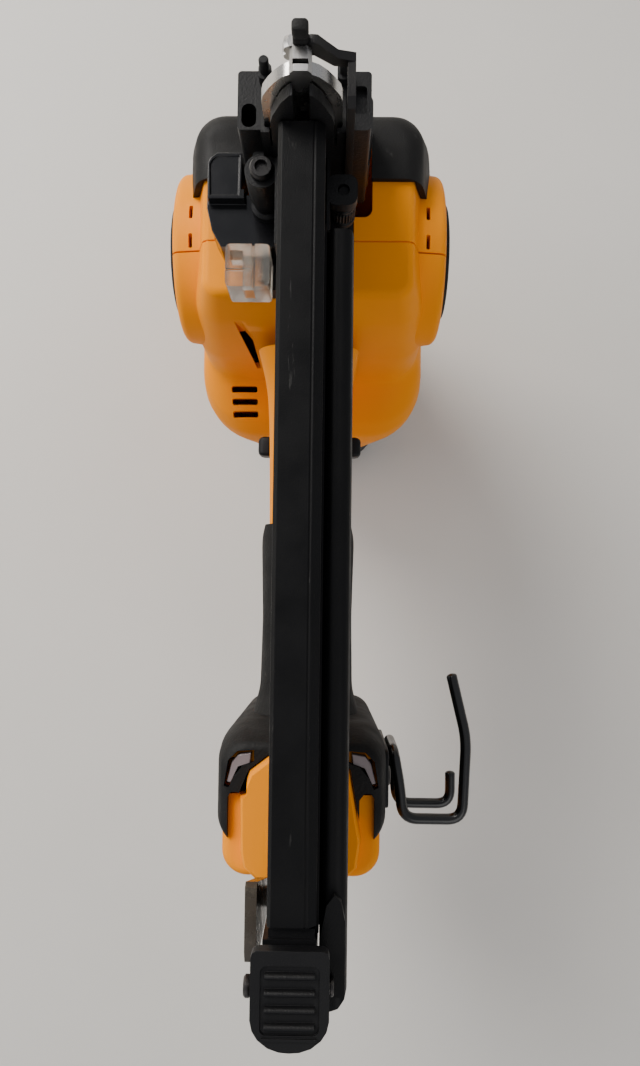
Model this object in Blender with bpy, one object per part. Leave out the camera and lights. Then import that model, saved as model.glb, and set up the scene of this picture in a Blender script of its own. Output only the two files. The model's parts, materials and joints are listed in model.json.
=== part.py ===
"""Cordless brad nailer, standing upside down on its top cap, nose up.

Frame: metres, +Z up. The origin is where the driver axis meets the flat of the top cap. The fastener leaves
along +Z, +Y is the front of the tool, and the grip, foot and magazine run back along -Y. X = 0 is the plane
in which the two housing halves meet.
"""

import math

import bmesh
import bpy
from mathutils import Vector

MM = 0.001

# Driving dimensions, in millimetres
GAP = 0.3                      # clearance between pieces that sit against each other
WALL = 2.6                     # housing wall
TIP_Z = 302.0                  # end of the contact tip
MAG_TOP_Z = 280.0              # exposed edge of the magazine
MAG_BASE_Z = 218.0             # edge of the magazine next to the housing
MAG_HALF = 6.6                 # half the width of the magazine track
MAG_FRONT_Y = -8.0
MAG_REAR_Y = -226.0
NEAR_FACE_Z = 208.0            # flat of the housing beside the nose
CAP_Z = 28.0                   # joint between the cap and the housing
MOTOR_Y, MOTOR_Z = -22.0, 152.0
FLYWHEEL_R = 17.0
CHEEK_Y, CHEEK_Z, CHEEK_R = -4.5, 165.0, 33.0
CHEEK_X = 51.6                 # outer flat of each cheek
BADGE_R = 23.5
VENT_Y = (-49.5, -54.5, -59.5)
TRIGGER_PIVOT = (-81.5, 171.0)   # Y, Z of the hinge axes that run along X
ARM_PIVOT = (14.5, 188.0)
ROLLER_AXIS = (13.5, 152.0)
ROLLER_R = 8.0
SOLENOID_XZ = (0.0, 134.0)
DOOR_PIVOT = (4.2, 241.0)
LATCH_PIVOT = (-242.6, 276.0)
LEVER_PIVOT = (-46.0, 15.0)
WHEEL_XY = (12.0, -17.2)
LAMP_LOW_X, LAMP_REAR_Y, LAMP_FRONT_Y, LAMP_Z = 18.5, -209.5, -197.0, 196.0
RAIL_X = 10.4
HOUSING_SCREWS = {"rear": (-44.0, 62.0), "front": (20.0, 62.0), "foot": (-206.0, 118.0)}
BOSS_END = {"rear": 40.6, "front": 40.6, "foot": 26.4}
DRIVER_REST_TIP_Z = 220.0

# Housing body sections: height, half width, front, rear, corner radius
BODY_SECTIONS = [
    (CAP_Z + GAP, 37, 33, -62, 22),
    (70, 43, 38, -67, 26),
    (104, 50, 41, -69, 26),
    (113, 50.4, 41, -67.5, 25),
    (121, 50, 41, -62, 22),
    (127, 49, 41, -54, 19),
    (131.5, 47, 41, -46, 15),
    (160, 47, 41, -43.5, 14),
    (190, 43, 37, -38, 12),
    (NEAR_FACE_Z, 38, 31, -32.5, 8),
]
# Handle sections: Y, half width, low Z, high Z, corner radius
HANDLE_SECTIONS = [
    (-42, 13.0, 128, 182, 10),
    (-72, 16.0, 128, 178, 12),
    (-100, 16.0, 128, 172, 13),
    (-150, 15.6, 127, 170, 13),
    (-180, 16.0, 126, 172, 13),
    (-200, 17.0, 124, 176, 13),
]
# Foot sections: height, half width, front, rear, corner radius
FOOT_SECTIONS = [
    (92, 26.0, -194, -236, 8),
    (120, 27.5, -190, -238, 9),
    (190, 28.5, -190, -239, 9),
    (207, 27.5, -193, -238, 9),
]

MATERIALS = {
    "yellow_housing": ((0.93, 0.50, 0.02), 0.42, 0.0),
    "black_plastic": ((0.020, 0.020, 0.022), 0.45, 0.0),
    "black_rubber": ((0.030, 0.029, 0.028), 0.72, 0.0),
    "black_cast": ((0.045, 0.045, 0.048), 0.50, 0.3),
    "black_anodised": ((0.028, 0.028, 0.031), 0.38, 0.5),
    "steel": ((0.62, 0.61, 0.58), 0.30, 1.0),
    "dark_steel": ((0.12, 0.11, 0.11), 0.40, 0.9),
    "clear_plastic": ((0.82, 0.80, 0.74), 0.25, 0.0),
    "led_lens": ((0.80, 0.74, 0.72), 0.20, 0.0),
    "smoked_plastic": ((0.10, 0.085, 0.06), 0.30, 0.0),
    "copper": ((0.72, 0.35, 0.18), 0.35, 1.0),
    "board_green": ((0.02, 0.16, 0.06), 0.50, 0.0),
    "natural_rubber": ((0.10, 0.09, 0.08), 0.80, 0.0),
}


def clear_scene():
    for obj in list(bpy.data.objects):
        bpy.data.objects.remove(obj)


def material(slot):
    """One Principled material for each finish, made the first time it is asked for."""
    found = bpy.data.materials.get(slot)
    if found:
        return found
    colour, roughness, metallic = MATERIALS[slot]
    made = bpy.data.materials.new(slot)
    made.use_nodes = True
    shader = made.node_tree.nodes["Principled BSDF"]
    shader.inputs["Base Color"].default_value = (*colour, 1.0)
    shader.inputs["Roughness"].default_value = roughness
    shader.inputs["Metallic"].default_value = metallic
    return made


def link(name, mesh, slot=None, helper=False):
    obj = bpy.data.objects.new(name, mesh)
    bpy.context.scene.collection.objects.link(obj)
    if slot:
        mesh.materials.append(material(slot))
    if helper:
        obj.hide_render = True
        obj.display_type = "WIRE"
    return obj


def finish_mesh(name, bm, smooth_angle=40):
    bmesh.ops.recalc_face_normals(bm, faces=bm.faces)
    mesh = bpy.data.meshes.new(name)
    bm.to_mesh(mesh)
    bm.free()
    mesh.shade_smooth()
    mesh.set_sharp_from_angle(angle=math.radians(smooth_angle))
    return mesh


def rounded_rect(cx, cy, hx, hy, radius, steps=3):
    """Corners as arcs of `steps` chords, counter-clockwise."""
    radius = min(radius, hx - 0.01, hy - 0.01)
    points = []
    corners = ((1, 1, 0), (-1, 1, 90), (-1, -1, 180), (1, -1, 270))
    for sx, sy, start in corners:
        for i in range(steps + 1):
            a = math.radians(start + 90 * i / steps)
            points.append((cx + sx * (hx - radius) + radius * math.cos(a),
                           cy + sy * (hy - radius) + radius * math.sin(a)))
    return points


def loft_mesh(name, rings):
    """A closed skin through rings of equal length, each ring a list of points in millimetres."""
    bm = bmesh.new()
    made = [[bm.verts.new(Vector(p) * MM) for p in ring] for ring in rings]
    count = len(made[0])
    for lower, upper in zip(made, made[1:]):
        for i in range(count):
            j = (i + 1) % count
            bm.faces.new((lower[i], lower[j], upper[j], upper[i]))
    bm.faces.new(made[0])
    bm.faces.new(made[-1])
    return finish_mesh(name, bm)


def z_loft(name, sections, slot=None, grow=0.0, helper=False, steps=4):
    """Rounded sections in XY at the heights given, each grown outwards by `grow`."""
    rings = []
    for z, hx, front, rear, radius in sections:
        cy, hy = (front + rear) / 2, (front - rear) / 2
        outline = rounded_rect(0, cy, hx + grow, hy + grow, radius + grow, steps)
        rings.append([(x, y, z) for x, y in outline])
    return link(name, loft_mesh(name, rings), slot, helper)


def y_loft(name, sections, slot=None, grow=0.0, helper=False, steps=3):
    """Rounded sections in XZ at the Y positions given, each grown outwards by `grow`."""
    rings = []
    for y, hx, low, high, radius in sections:
        cz, hz = (low + high) / 2, (high - low) / 2
        outline = rounded_rect(0, cz, hx + grow, hz + grow, radius + grow, steps)
        rings.append([(x, y, z) for x, z in outline])
    return link(name, loft_mesh(name, rings), slot, helper)


def box(name, low, high, slot=None, helper=False, bevel=0.0):
    bm = bmesh.new()
    bmesh.ops.create_cube(bm, size=1.0)
    size = [(h - l) * MM for l, h in zip(low, high)]
    centre = [(h + l) / 2 * MM for l, h in zip(low, high)]
    bmesh.ops.scale(bm, vec=size, verts=bm.verts)
    bmesh.ops.translate(bm, vec=centre, verts=bm.verts)
    if bevel:
        bmesh.ops.bevel(bm, geom=bm.edges, offset=bevel * MM, segments=1, affect="EDGES")
    return link(name, finish_mesh(name, bm, 30), slot, helper)


def rod(name, axis, centre, radius, start, end, slot=None, helper=False, sides=24, chamfer=0.0):
    """A cylinder along a frame axis. `centre` is its place on the other two axes, in XYZ order."""
    rings = [(start, radius - chamfer), (start + chamfer, radius), (end - chamfer, radius), (end, radius - chamfer)]
    if not chamfer:
        rings = [(start, radius), (end, radius)]
    points = []
    for along, r in rings:
        ring = []
        for i in range(sides):
            a = 2 * math.pi * i / sides
            u, v = centre[0] + r * math.cos(a), centre[1] + r * math.sin(a)
            ring.append({"X": (along, u, v), "Y": (u, along, v), "Z": (u, v, along)}[axis])
        points.append(ring)
    return link(name, loft_mesh(name, points), slot, helper)


def prism(name, axis, outline, start, end, slot=None, helper=False):
    """An outline in the plane across `axis`, in XYZ order, carried from start to end."""
    rings = []
    for along in (start, end):
        rings.append([{"X": (along, u, v), "Y": (u, along, v), "Z": (u, v, along)}[axis] for u, v in outline])
    return link(name, loft_mesh(name, rings), slot, helper)


def wire(name, points, radius, slot, cyclic=False, resolution=2):
    """A bent round wire through the points, with rounded corners already in the list."""
    curve = bpy.data.curves.new(name, "CURVE")
    curve.dimensions = "3D"
    curve.bevel_depth = radius * MM
    curve.bevel_resolution = resolution
    curve.use_fill_caps = True
    spline = curve.splines.new("POLY")
    spline.points.add(len(points) - 1)
    for target, p in zip(spline.points, points):
        target.co = (*(Vector(p) * MM), 1.0)
    spline.use_cyclic_u = cyclic
    obj = bpy.data.objects.new(name, curve)
    bpy.context.scene.collection.objects.link(obj)
    curve.materials.append(material(slot))
    return obj


def boolean(obj, other, operation):
    modifier = obj.modifiers.new(f"{operation.lower()} {other.name}", "BOOLEAN")
    modifier.object = other
    modifier.operation = operation
    modifier.solver = "EXACT"
    return obj


def cut(obj, *cutters):
    for cutter in cutters:
        boolean(obj, cutter, "DIFFERENCE")
    return obj


def join(obj, *others):
    for other in others:
        boolean(obj, other, "UNION")
    return obj


def filleted(points, radius, steps=4):
    """The points of an open path with each inner corner replaced by an arc-like curve."""
    path = [Vector(points[0])]
    for before, corner, after in zip(points, points[1:], points[2:]):
        corner = Vector(corner)
        into = (Vector(before) - corner).normalized() * radius
        out = (Vector(after) - corner).normalized() * radius
        for i in range(steps + 1):
            t = i / steps
            path.append((corner + into) * (1 - t) ** 2 + corner * 2 * t * (1 - t) + (corner + out) * t ** 2)
    path.append(Vector(points[-1]))
    return path


def helix(axis_x, axis_y, low, high, radius, turns, per_turn=10):
    """Points of a compression spring along Z."""
    count = int(turns * per_turn)
    points = []
    for i in range(count + 1):
        a = 2 * math.pi * i / per_turn
        points.append((axis_x + radius * math.cos(a), axis_y + radius * math.sin(a), low + (high - low) * i / count))
    return points


def shell_cutters():
    """The hollow inside the two halves, and everything that is cut from both of them."""
    hollow_body = z_loft("hollow_body", [(CAP_Z - 5, 37, 33, -62, 22), *BODY_SECTIONS[1:-1],
                                         (NEAR_FACE_Z - WALL, 38.3, 31.4, -33, 9)], grow=-WALL, helper=True)
    hollow_handle = y_loft("hollow_handle", HANDLE_SECTIONS, grow=-WALL, helper=True)
    hollow_foot = z_loft("hollow_foot", [(95, 23, -196, -223, 6), (203, 25.5, -194, -223, 6)], helper=True, steps=3)
    bay_wide = box("bay_wide", (-24, -234, 80), (24, -225.5, 198), helper=True)
    bay_mouth = box("bay_mouth", (-19.5, -250, 80), (19.5, -225.5, 198), helper=True)
    nose_opening = box("nose_opening", (-23, -4, 190), (23, 70, 230), helper=True)
    magazine_relief = box("magazine_relief", (-16.4, -60, 204.8), (16.4, -3, 230), helper=True)
    trigger_opening = box("trigger_opening", (-6, -112, 160), (6, -76, 190), helper=True)
    lock_opening = box("lock_opening", (-40, -83.5, 146), (40, -74.5, 155), helper=True)
    pin_hole = rod("trigger_pin_hole", "X", TRIGGER_PIVOT, 1.9, -12.4, 12.4, helper=True, sides=12)
    return [hollow_body, hollow_handle, hollow_foot, bay_wide, bay_mouth, nose_opening, magazine_relief,
            trigger_opening, lock_opening, pin_hole]


def side_cutters(side):
    """Badge recess, vents and lamp window of one half. `side` is -1 or 1."""
    edges = sorted((side * (CHEEK_X - 2.4), side * 70))
    name = "left" if side < 0 else "right"
    cutters = [rod(f"badge_recess_{name}", "X", (CHEEK_Y, CHEEK_Z), BADGE_R + GAP, *edges, helper=True, sides=32)]
    if side < 0:
        cutters += [box(f"vent_{i}", (-36, y - 1.3, 106), (-24.5, y + 1.3, 136), helper=True)
                    for i, y in enumerate(VENT_Y)]
    low_x, high_x = sorted((side * LAMP_LOW_X, side * 40))
    cutters.append(box(f"lamp_window_{name}", (low_x, LAMP_REAR_Y, LAMP_Z), (high_x, LAMP_FRONT_Y, 230), helper=True))
    return cutters


def screw_bosses(half, side):
    """Posts that meet at the parting plane: threaded on the left, counterbored for the head on the right."""
    name = "left" if side < 0 else "right"
    for tag, (y, z) in HOUSING_SCREWS.items():
        end = BOSS_END[tag]
        span = sorted((0, side * end))
        join(half, rod(f"boss_{name}_{tag}", "X", (y, z), 5.2, *span, helper=True, sides=14))
        if side > 0:
            cut(half, rod(f"shank_hole_{tag}", "X", (y, z), 1.8, -5, 10, helper=True, sides=12),
                rod(f"head_hole_{tag}", "X", (y, z), 3.4, 6, 80, helper=True, sides=14))
        else:
            cut(half, rod(f"thread_hole_{tag}", "X", (y, z), 1.7, -end + 3, 5, helper=True, sides=12))


def housing():
    """The two moulded halves: body, cheeks, handle and foot as one shell, parted on X = 0."""
    handle_outer = y_loft("handle_outer", HANDLE_SECTIONS, helper=True)
    foot_outer = z_loft("foot_outer", FOOT_SECTIONS, helper=True, steps=3)
    keel = z_loft("foot_keel", [(200, 20, -197, -237, 6), (214, 17, -201, -238.5, 5)], helper=True, steps=2)
    shared = shell_cutters()
    for side, name in ((-1, "left"), (1, "right")):
        half = z_loft(f"housing_{name}", BODY_SECTIONS, "yellow_housing")
        cheek_span = sorted((side * 30, side * CHEEK_X))
        cheek = rod(f"cheek_{name}", "X", (CHEEK_Y, CHEEK_Z), CHEEK_R, *cheek_span, helper=True, sides=32, chamfer=4)
        join(half, cheek, handle_outer, foot_outer, keel)
        other = box(f"other_side_{name}", *((-100, -300, -20), (GAP / 2, 100, 300)) if side > 0
                    else ((-GAP / 2, -300, -20), (100, 100, 300)), helper=True)
        cut(half, *shared, *side_cutters(side))
        screw_bosses(half, side)
        cut(half, other)


def cap_and_bumper():
    cap = z_loft("top_cap", [(0, 31, 27, -60, 16), (3, 34, 30, -62, 18), (CAP_Z, 37, 33, -62, 22)], "black_plastic")
    inside = z_loft("cap_inside", [(3.5, 30.5, 26.5, -58.5, 15), (CAP_Z + 5, 34.5, 30.5, -59.5, 20)], helper=True)
    slot = box("cap_lever_slot", (-6.5, -70, 8), (6.5, -45, 22), helper=True)
    cut(cap, inside, slot)

    bumper = box("front_bumper", (-70, 8, 112), (70, 70, 230), "black_rubber")
    outer = z_loft("bumper_outer", [*BODY_SECTIONS[1:-1], (NEAR_FACE_Z + 2.2, 38, 31, -34, 9)], grow=2.4, helper=True)
    inner = z_loft("bumper_inner", [*BODY_SECTIONS[1:-1], (NEAR_FACE_Z + GAP, 38, 31, -34, 9)], grow=GAP, helper=True)
    boolean(bumper, outer, "INTERSECT")
    opening = box("bumper_opening", (-22.6, 0, 190), (22.6, 70, 240), helper=True)
    cut(bumper, inner, opening)
    for side, name in ((-1, "left"), (1, "right")):
        cut(bumper, rod(f"cheek_relief_{name}", "X", (CHEEK_Y, CHEEK_Z), CHEEK_R + 0.6,
                        *sorted((side * 30, side * 70)), helper=True, sides=32))


def badges():
    for side, name in ((-1, "left"), (1, "right")):
        span = sorted((side * (CHEEK_X - 2.4 + GAP), side * (CHEEK_X + 2.2)))
        rod(f"badge_{name}", "X", (CHEEK_Y, CHEEK_Z), BADGE_R, *span, "black_rubber", sides=32, chamfer=1.0)


def grip():
    """Rubber over the back of the handle and the front of the foot, in one moulding."""
    grown = [(-112.5, 17.6, 126.2, 173.8, 14), (-118, 18.9, 124.5, 173.6, 15), (-150, 18.2, 125, 172, 15),
             (-178, 18.6, 124, 174, 15), (-188, 21, 122, 178, 15), (-193, 24, 118, 182, 15)]
    sleeve = y_loft("grip_overmould", grown, "black_rubber", steps=4)
    foot_skin = z_loft("grip_foot_skin", [(112, 28.2, -187.6, -226, 9), (190, 30.4, -187.4, -226, 10),
                                          (206, 29.6, -190, -226, 10)], helper=True, steps=3)
    join(sleeve, foot_skin)
    cut(sleeve, y_loft("grip_bore", HANDLE_SECTIONS, grow=GAP, helper=True),
        z_loft("grip_foot_bore", [(60, 24, -196, -300, 8), (92, 26, -194, -300, 8), (120, 27.5, -190, -300, 9),
                                  (190, 28.5, -190, -300, 9), (207, 27.5, -193, -300, 9), (230, 24, -198, -300, 9)],
               grow=GAP, helper=True, steps=3))
    cut(sleeve, box("grip_hook_recess", (20, -217.6, 150.4), (60, -195.4, 197.6), helper=True))
    for side, name in ((-1, "left"), (1, "right")):
        low_x, high_x = sorted((side * (LAMP_LOW_X - 0.5), side * 40))
        cut(sleeve, box(f"grip_lamp_{name}", (low_x, LAMP_REAR_Y - 0.5, LAMP_Z - 0.5), (high_x, LAMP_FRONT_Y + 0.5, 220),
                        helper=True))


def lamps():
    """A lens in each front corner of the foot."""
    for side, name in ((-1, "left"), (1, "right")):
        low_x, high_x = sorted((side * (LAMP_LOW_X + GAP), side * 27.6))
        box(f"lamp_lens_{name}", (low_x, LAMP_REAR_Y + GAP, LAMP_Z + GAP), (high_x, LAMP_FRONT_Y - GAP, 207), "led_lens",
            bevel=2.0)


def battery_bay():
    block = box("terminal_block", (-13, -233, 168), (13, -225.5 - GAP, 198 - GAP), "black_plastic", bevel=0.8)
    for i in range(4):
        x = -9 + 6 * i
        cut(block, box(f"terminal_slot_{i}", (x - 0.8, -240, 160), (x + 0.8, -228, 190), helper=True))
    box("control_board", (-20, -222, 100), (20, -217, 165), "board_green")


def belt_hook():
    """Round wire: a short leg, a link that the plate holds to the foot, and a long arm that runs forward."""
    near, far = 188.0, 160.0
    route = [(58.5, -212, far), (58.5, -224, far), (37, -224, far), (36, -212, far), (33.6, -198, far),
             (33.6, -198, near), (36, -211, near), (37, -222.5, near), (59, -222.5, near), (60.5, -193, near),
             (55, -170, near)]
    wire("belt_hook", filleted(route, 4, 3), 2.0, "black_plastic")
    box("hook_plate", (28.5 + GAP, -217, 151), (31.2, -196, 197), "black_plastic", bevel=0.8)
    rod("hook_screw", "X", (-210, 174), 4.0, 31.2 + GAP, 33.4, "dark_steel", chamfer=0.8)


def frame():
    """Cast backbone: nose block, flange, magazine seat and the side plates that carry motor and roller."""
    plate = [(18, 96), (18, 213.5), (-29, 213.5), (-29, 196), (-36, 180), (-36, 96)]
    casting = box("frame_casting", (-22, 13, 213), (22, 29, 230), "black_cast", bevel=1.5)
    parts = [
        box("frame_flange", (-21, 4, 213), (21, 15, 229), helper=True),
        box("frame_rear_block", (-8.8, -34, 205), (7.9, -5, 258), helper=True),
        box("frame_front_block", (-12, -6, 205), (12, 0, 262), helper=True),
        box("frame_lug_left", (-20, -1, 213), (-9.7, 17, 262), helper=True, bevel=1.5),
        box("frame_lug_right", (9.7, -1, 213), (20, 17, 262), helper=True, bevel=1.5),
        box("frame_boss_left", (-18, -17, 236.5), (-8, -4, 256), helper=True, bevel=2.0),
        box("frame_wheel_ear", (7, -22, 253.5), (16.2, -12.5, 258), helper=True),
        prism("frame_plate_left", "X", plate, -16, -13, helper=True),
        prism("frame_plate_right", "X", plate, 13, 16, helper=True),
        box("frame_bridge", (-16, -33, 205), (16, 26, 214), helper=True),
        prism("frame_nose_guide", "Y", [(-3, 291), (-9, 277), (-9, 250), (9, 250), (9, 277), (3, 291)],
              -7.4, -4.0, helper=True),
    ]
    join(casting, *parts)
    cut(casting,
        box("frame_magazine_slot", (-MAG_HALF - GAP, -60, 217.2), (MAG_HALF + GAP, MAG_FRONT_Y + GAP, 300), helper=True),
        box("frame_driver_way", (-7.5, -5.4, 190), (7.5, 5.4, 224), helper=True),
        box("frame_blade_way", (-2.3, -9, 200), (2.3, 2, 300), helper=True),
        box("frame_door_pocket", (-9.7, 0.0, 237), (9.7, 16, 280), helper=True),
        rod("frame_shaft_hole", "X", (MOTOR_Y, MOTOR_Z), 9.4, -40, 40, helper=True),
        rod("frame_arm_hole", "X", ARM_PIVOT, 2.8, -40, 40, helper=True, sides=16),
        rod("frame_door_hole", "X", DOOR_PIVOT, 1.7, -15, 15, helper=True, sides=12),
        rod("frame_wheel_hole", "Z", WHEEL_XY, 1.8, 250, 262, helper=True, sides=12),
        rod("frame_screw_hole", "Z", (-13, -10.5), 2.6, 235, 262, helper=True, sides=12),
        *[rod(f"frame_rail_hole_{i}", "Z", (x, 0), 1.5, 190, 211.5, helper=True, sides=12)
          for i, x in enumerate((-RAIL_X, RAIL_X))])


def motor():
    """Outer-rotor motor across the tool, whose drum is the flywheel that grips the driver."""
    centre = (MOTOR_Y, MOTOR_Z)
    drum = rod("flywheel_rotor", "X", centre, FLYWHEEL_R, -11.5, 11.5, "dark_steel", sides=40, chamfer=1.0)
    cut(drum, rod("drum_bore", "X", centre, 3.4, -30, 30, helper=True))
    rod("motor_shaft", "X", centre, 3.0, -20, 38, "steel", sides=20, chamfer=0.5)
    for name, low in (("left", -16), ("right", 13)):
        ring = rod(f"bearing_{name}", "X", centre, 9.1, low, low + 3, "steel", sides=28)
        cut(ring, rod(f"bearing_bore_{name}", "X", centre, 3.3, -60, 60, helper=True))
    stator = rod("motor_stator", "X", centre, 16.5, 17.5, 34, "copper", sides=32, chamfer=1.5)
    cut(stator, rod("stator_bore", "X", centre, 7.0, 0, 60, helper=True))


def driver():
    """Driver carriage with its blade, on two rails with return springs, and the block that stops it."""
    carriage = box("driver_carriage", (-12.4, -3.6, 108), (12.4, 3.6, 118), "dark_steel", bevel=0.6)
    join(carriage, box("carriage_tongue", (-6.5, -4.6, 104), (6.5, 4.6, 148), helper=True, bevel=0.6))
    cut(carriage, box("carriage_blade_seat", (-2.2, -1.8, 140), (2.2, -0.2, 160), helper=True))
    for side, x in (("left", -RAIL_X), ("right", RAIL_X)):
        cut(carriage, rod(f"carriage_rail_bore_{side}", "Z", (x, 0), 1.45, 100, 130, helper=True, sides=12))
        rod(f"guide_rail_{side}", "Z", (x, 0), 1.15, 92, 211, "steel", sides=10)
        wire(f"return_spring_{side}", helix(x, 0, 119.2, 203.6, 1.95, 10, 8), 0.35, "steel", resolution=0)
    box("driver_blade", (-1.9, -1.5, 140.3), (1.9, -0.5, DRIVER_REST_TIP_Z), "steel")
    box("rail_end_block", (-12.7, -7, 86), (12.7, 7, 91.7), "natural_rubber", bevel=1.0)


def roller_and_solenoid():
    """Pinch roller on its arm in front of the driver, pulled in by a solenoid."""
    roller = rod("pinch_roller", "X", ROLLER_AXIS, ROLLER_R, -5.5, 5.5, "steel", sides=28, chamfer=0.6)
    cut(roller, rod("roller_bore", "X", ROLLER_AXIS, 2.3, -20, 20, helper=True, sides=16))
    rod("roller_pin", "X", ROLLER_AXIS, 2.0, -9.4, 9.4, "dark_steel", sides=16)
    rod("arm_pivot_pin", "X", ARM_PIVOT, 2.4, -15.8, 15.8, "dark_steel", sides=16)
    arm = box("roller_arm", (-9.6, 9, 124), (9.6, 20, 193), "black_cast", bevel=1.0)
    cut(arm, box("arm_fork", (-6.2, 0, 130), (6.2, 40, 200), helper=True),
        rod("arm_pin_bore", "X", ARM_PIVOT, 2.7, -20, 20, helper=True, sides=16),
        rod("arm_roller_bore", "X", ROLLER_AXIS, 2.3, -20, 20, helper=True, sides=16))
    body = rod("solenoid_body", "Y", SOLENOID_XZ, 9.5, 27, 37.5, "dark_steel", sides=28, chamfer=1.0)
    cut(body, rod("solenoid_bore", "Y", SOLENOID_XZ, 4.4, 20, 36, helper=True, sides=20))
    rod("solenoid_plunger", "Y", SOLENOID_XZ, 4.0, 21.5, 33, "steel", sides=20, chamfer=0.5)


def trigger_group():
    """Trigger lever with its pin, return spring and switch, and the push-through lock-off bar."""
    outline = [(-77.5, 168), (-77.5, 176), (-81, 184), (-86, 185.5), (-93, 182.5), (-99, 182.5), (-106, 187),
               (-109, 185), (-108, 178), (-104, 170), (-95, 166), (-84, 166)]
    trigger = prism("trigger", "X", outline, -5.4, 5.4, "black_plastic")
    cut(trigger, rod("trigger_bore", "X", TRIGGER_PIVOT, 2.0, -10, 10, helper=True, sides=16))
    rod("trigger_pin", "X", TRIGGER_PIVOT, 1.6, -12, 12, "dark_steel", sides=16)
    box("trigger_switch", (-5.2, -114, 146), (5.2, -98, 158), "black_plastic", bevel=0.6)
    wire("trigger_spring", helix(0, -92, 148, 165.2, 2.6, 5, 8), 0.4, "steel", resolution=0)
    box("lock_off_bar", (-21.5, -83.1, 146.4), (21.5, -74.9, 154.6), "black_plastic", bevel=1.2)


def nose():
    """Steel nosepiece, hinged jam door and its latch, and the spring-loaded contact trip with its depth wheel."""
    outline = [(-3.2, 294), (-7, 290), (-11.2, 283), (-11.2, 262 + GAP), (11.2, 262 + GAP), (11.2, 283), (7, 290),
               (3.2, 294)]
    piece = prism("nosepiece", "Y", outline, -3.6, -0.1, "steel")
    join(piece, box("nose_cap", (-2.9, -3.6, 278), (2.9, 3.0, 296), helper=True, bevel=0.8))
    cut(piece, box("nose_channel", (-2.1, -1.7, 250), (2.1, -0.3, 300), helper=True),
        box("nose_feed", (-1.2, -10, 250), (1.2, -0.6, 277), helper=True))
    door = prism("jam_door", "Y", [(-6, 276), (-9, 270), (-9, 241.4), (9, 241.4), (9, 270), (6, 276)], 0.4, 4.4, "steel")
    cut(door, box("door_pin_notch", (-9.2, 2.6, 236), (9.2, 10, 243.3), helper=True))
    join(door, rod("door_pin", "X", DOOR_PIVOT, 1.4, -12, 12, helper=True, sides=12),
         box("door_hinge_lug", (-5, 1, 239.4), (5, 5.2, 246), helper=True))
    latch = box("jam_latch", (-6, 4.8, 248), (6, 7.4, 268.7), "dark_steel", bevel=0.6)
    cut(latch, box("latch_window", (-3, 0, 252), (3, 20, 262), helper=True))
    trip = box("contact_trip", (-2.2, 3.4, 288), (14.6, 6.0, 292), "dark_steel")
    join(trip, box("trip_neck", (-1.2, 3.7, 289), (1.2, 5.8, 296.5), helper=True),
         box("trip_collar", (-3.4, 3.2, 289.3), (3.4, 6.4, 295), helper=True),
         box("trip_elbow", (12.4, -8, 288), (14.6, 6, 292), helper=True),
         box("trip_leg", (12.4, -8, 227), (14.6, -4.6, 291), helper=True),
         box("trip_tab", (8.6, -20.8, 226), (15.6, -6.4, 229), helper=True))
    cut(trip, rod("trip_tab_hole", "Z", WHEEL_XY, 1.9, 220, 234, helper=True, sides=12))
    tip = box("no_mar_tip", (-2.2, 3.2, 295 + GAP), (2.2, 6.6, TIP_Z), "black_rubber", bevel=0.5)
    cut(tip, box("tip_socket", (-1.5, 3.1, 290), (1.5, 6.3, 296.5 + GAP), helper=True))
    wheel = rod("depth_wheel", "Z", WHEEL_XY, 3.9, 238, 250, "black_plastic", sides=20, chamfer=0.6)
    join(wheel, rod("wheel_stem", "Z", WHEEL_XY, 1.5, 214 + GAP, 257, helper=True, sides=12))
    wire("trip_spring", helix(*WHEEL_XY, 215.2, 225.2, 2.6, 4, 8), 0.4, "steel", resolution=0)
    rod("nose_screw", "Z", (-13, -10.5), 3.6, 256 + GAP, 259, "dark_steel", sides=20, chamfer=0.6)


def side_pieces():
    """The pod beside the nose and the spare contact pad stored behind it."""
    outline = [(-33, 3), (-30, 6.5), (-21.4, 6.5), (-21.4, -6.5), (-9.2, -6.5), (-9.2, -24), (-27, -24), (-33, -17)]
    prism("side_pod", "Z", outline, 214 + GAP, 235, "black_plastic")
    pad = box("spare_pad", (-26, -40, 222), (-11.5, -26, 238), "clear_plastic", bevel=1.0)
    cut(pad, box("pad_socket", (-20.5, -50, 226), (-17, -29, 234), helper=True))


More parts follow.
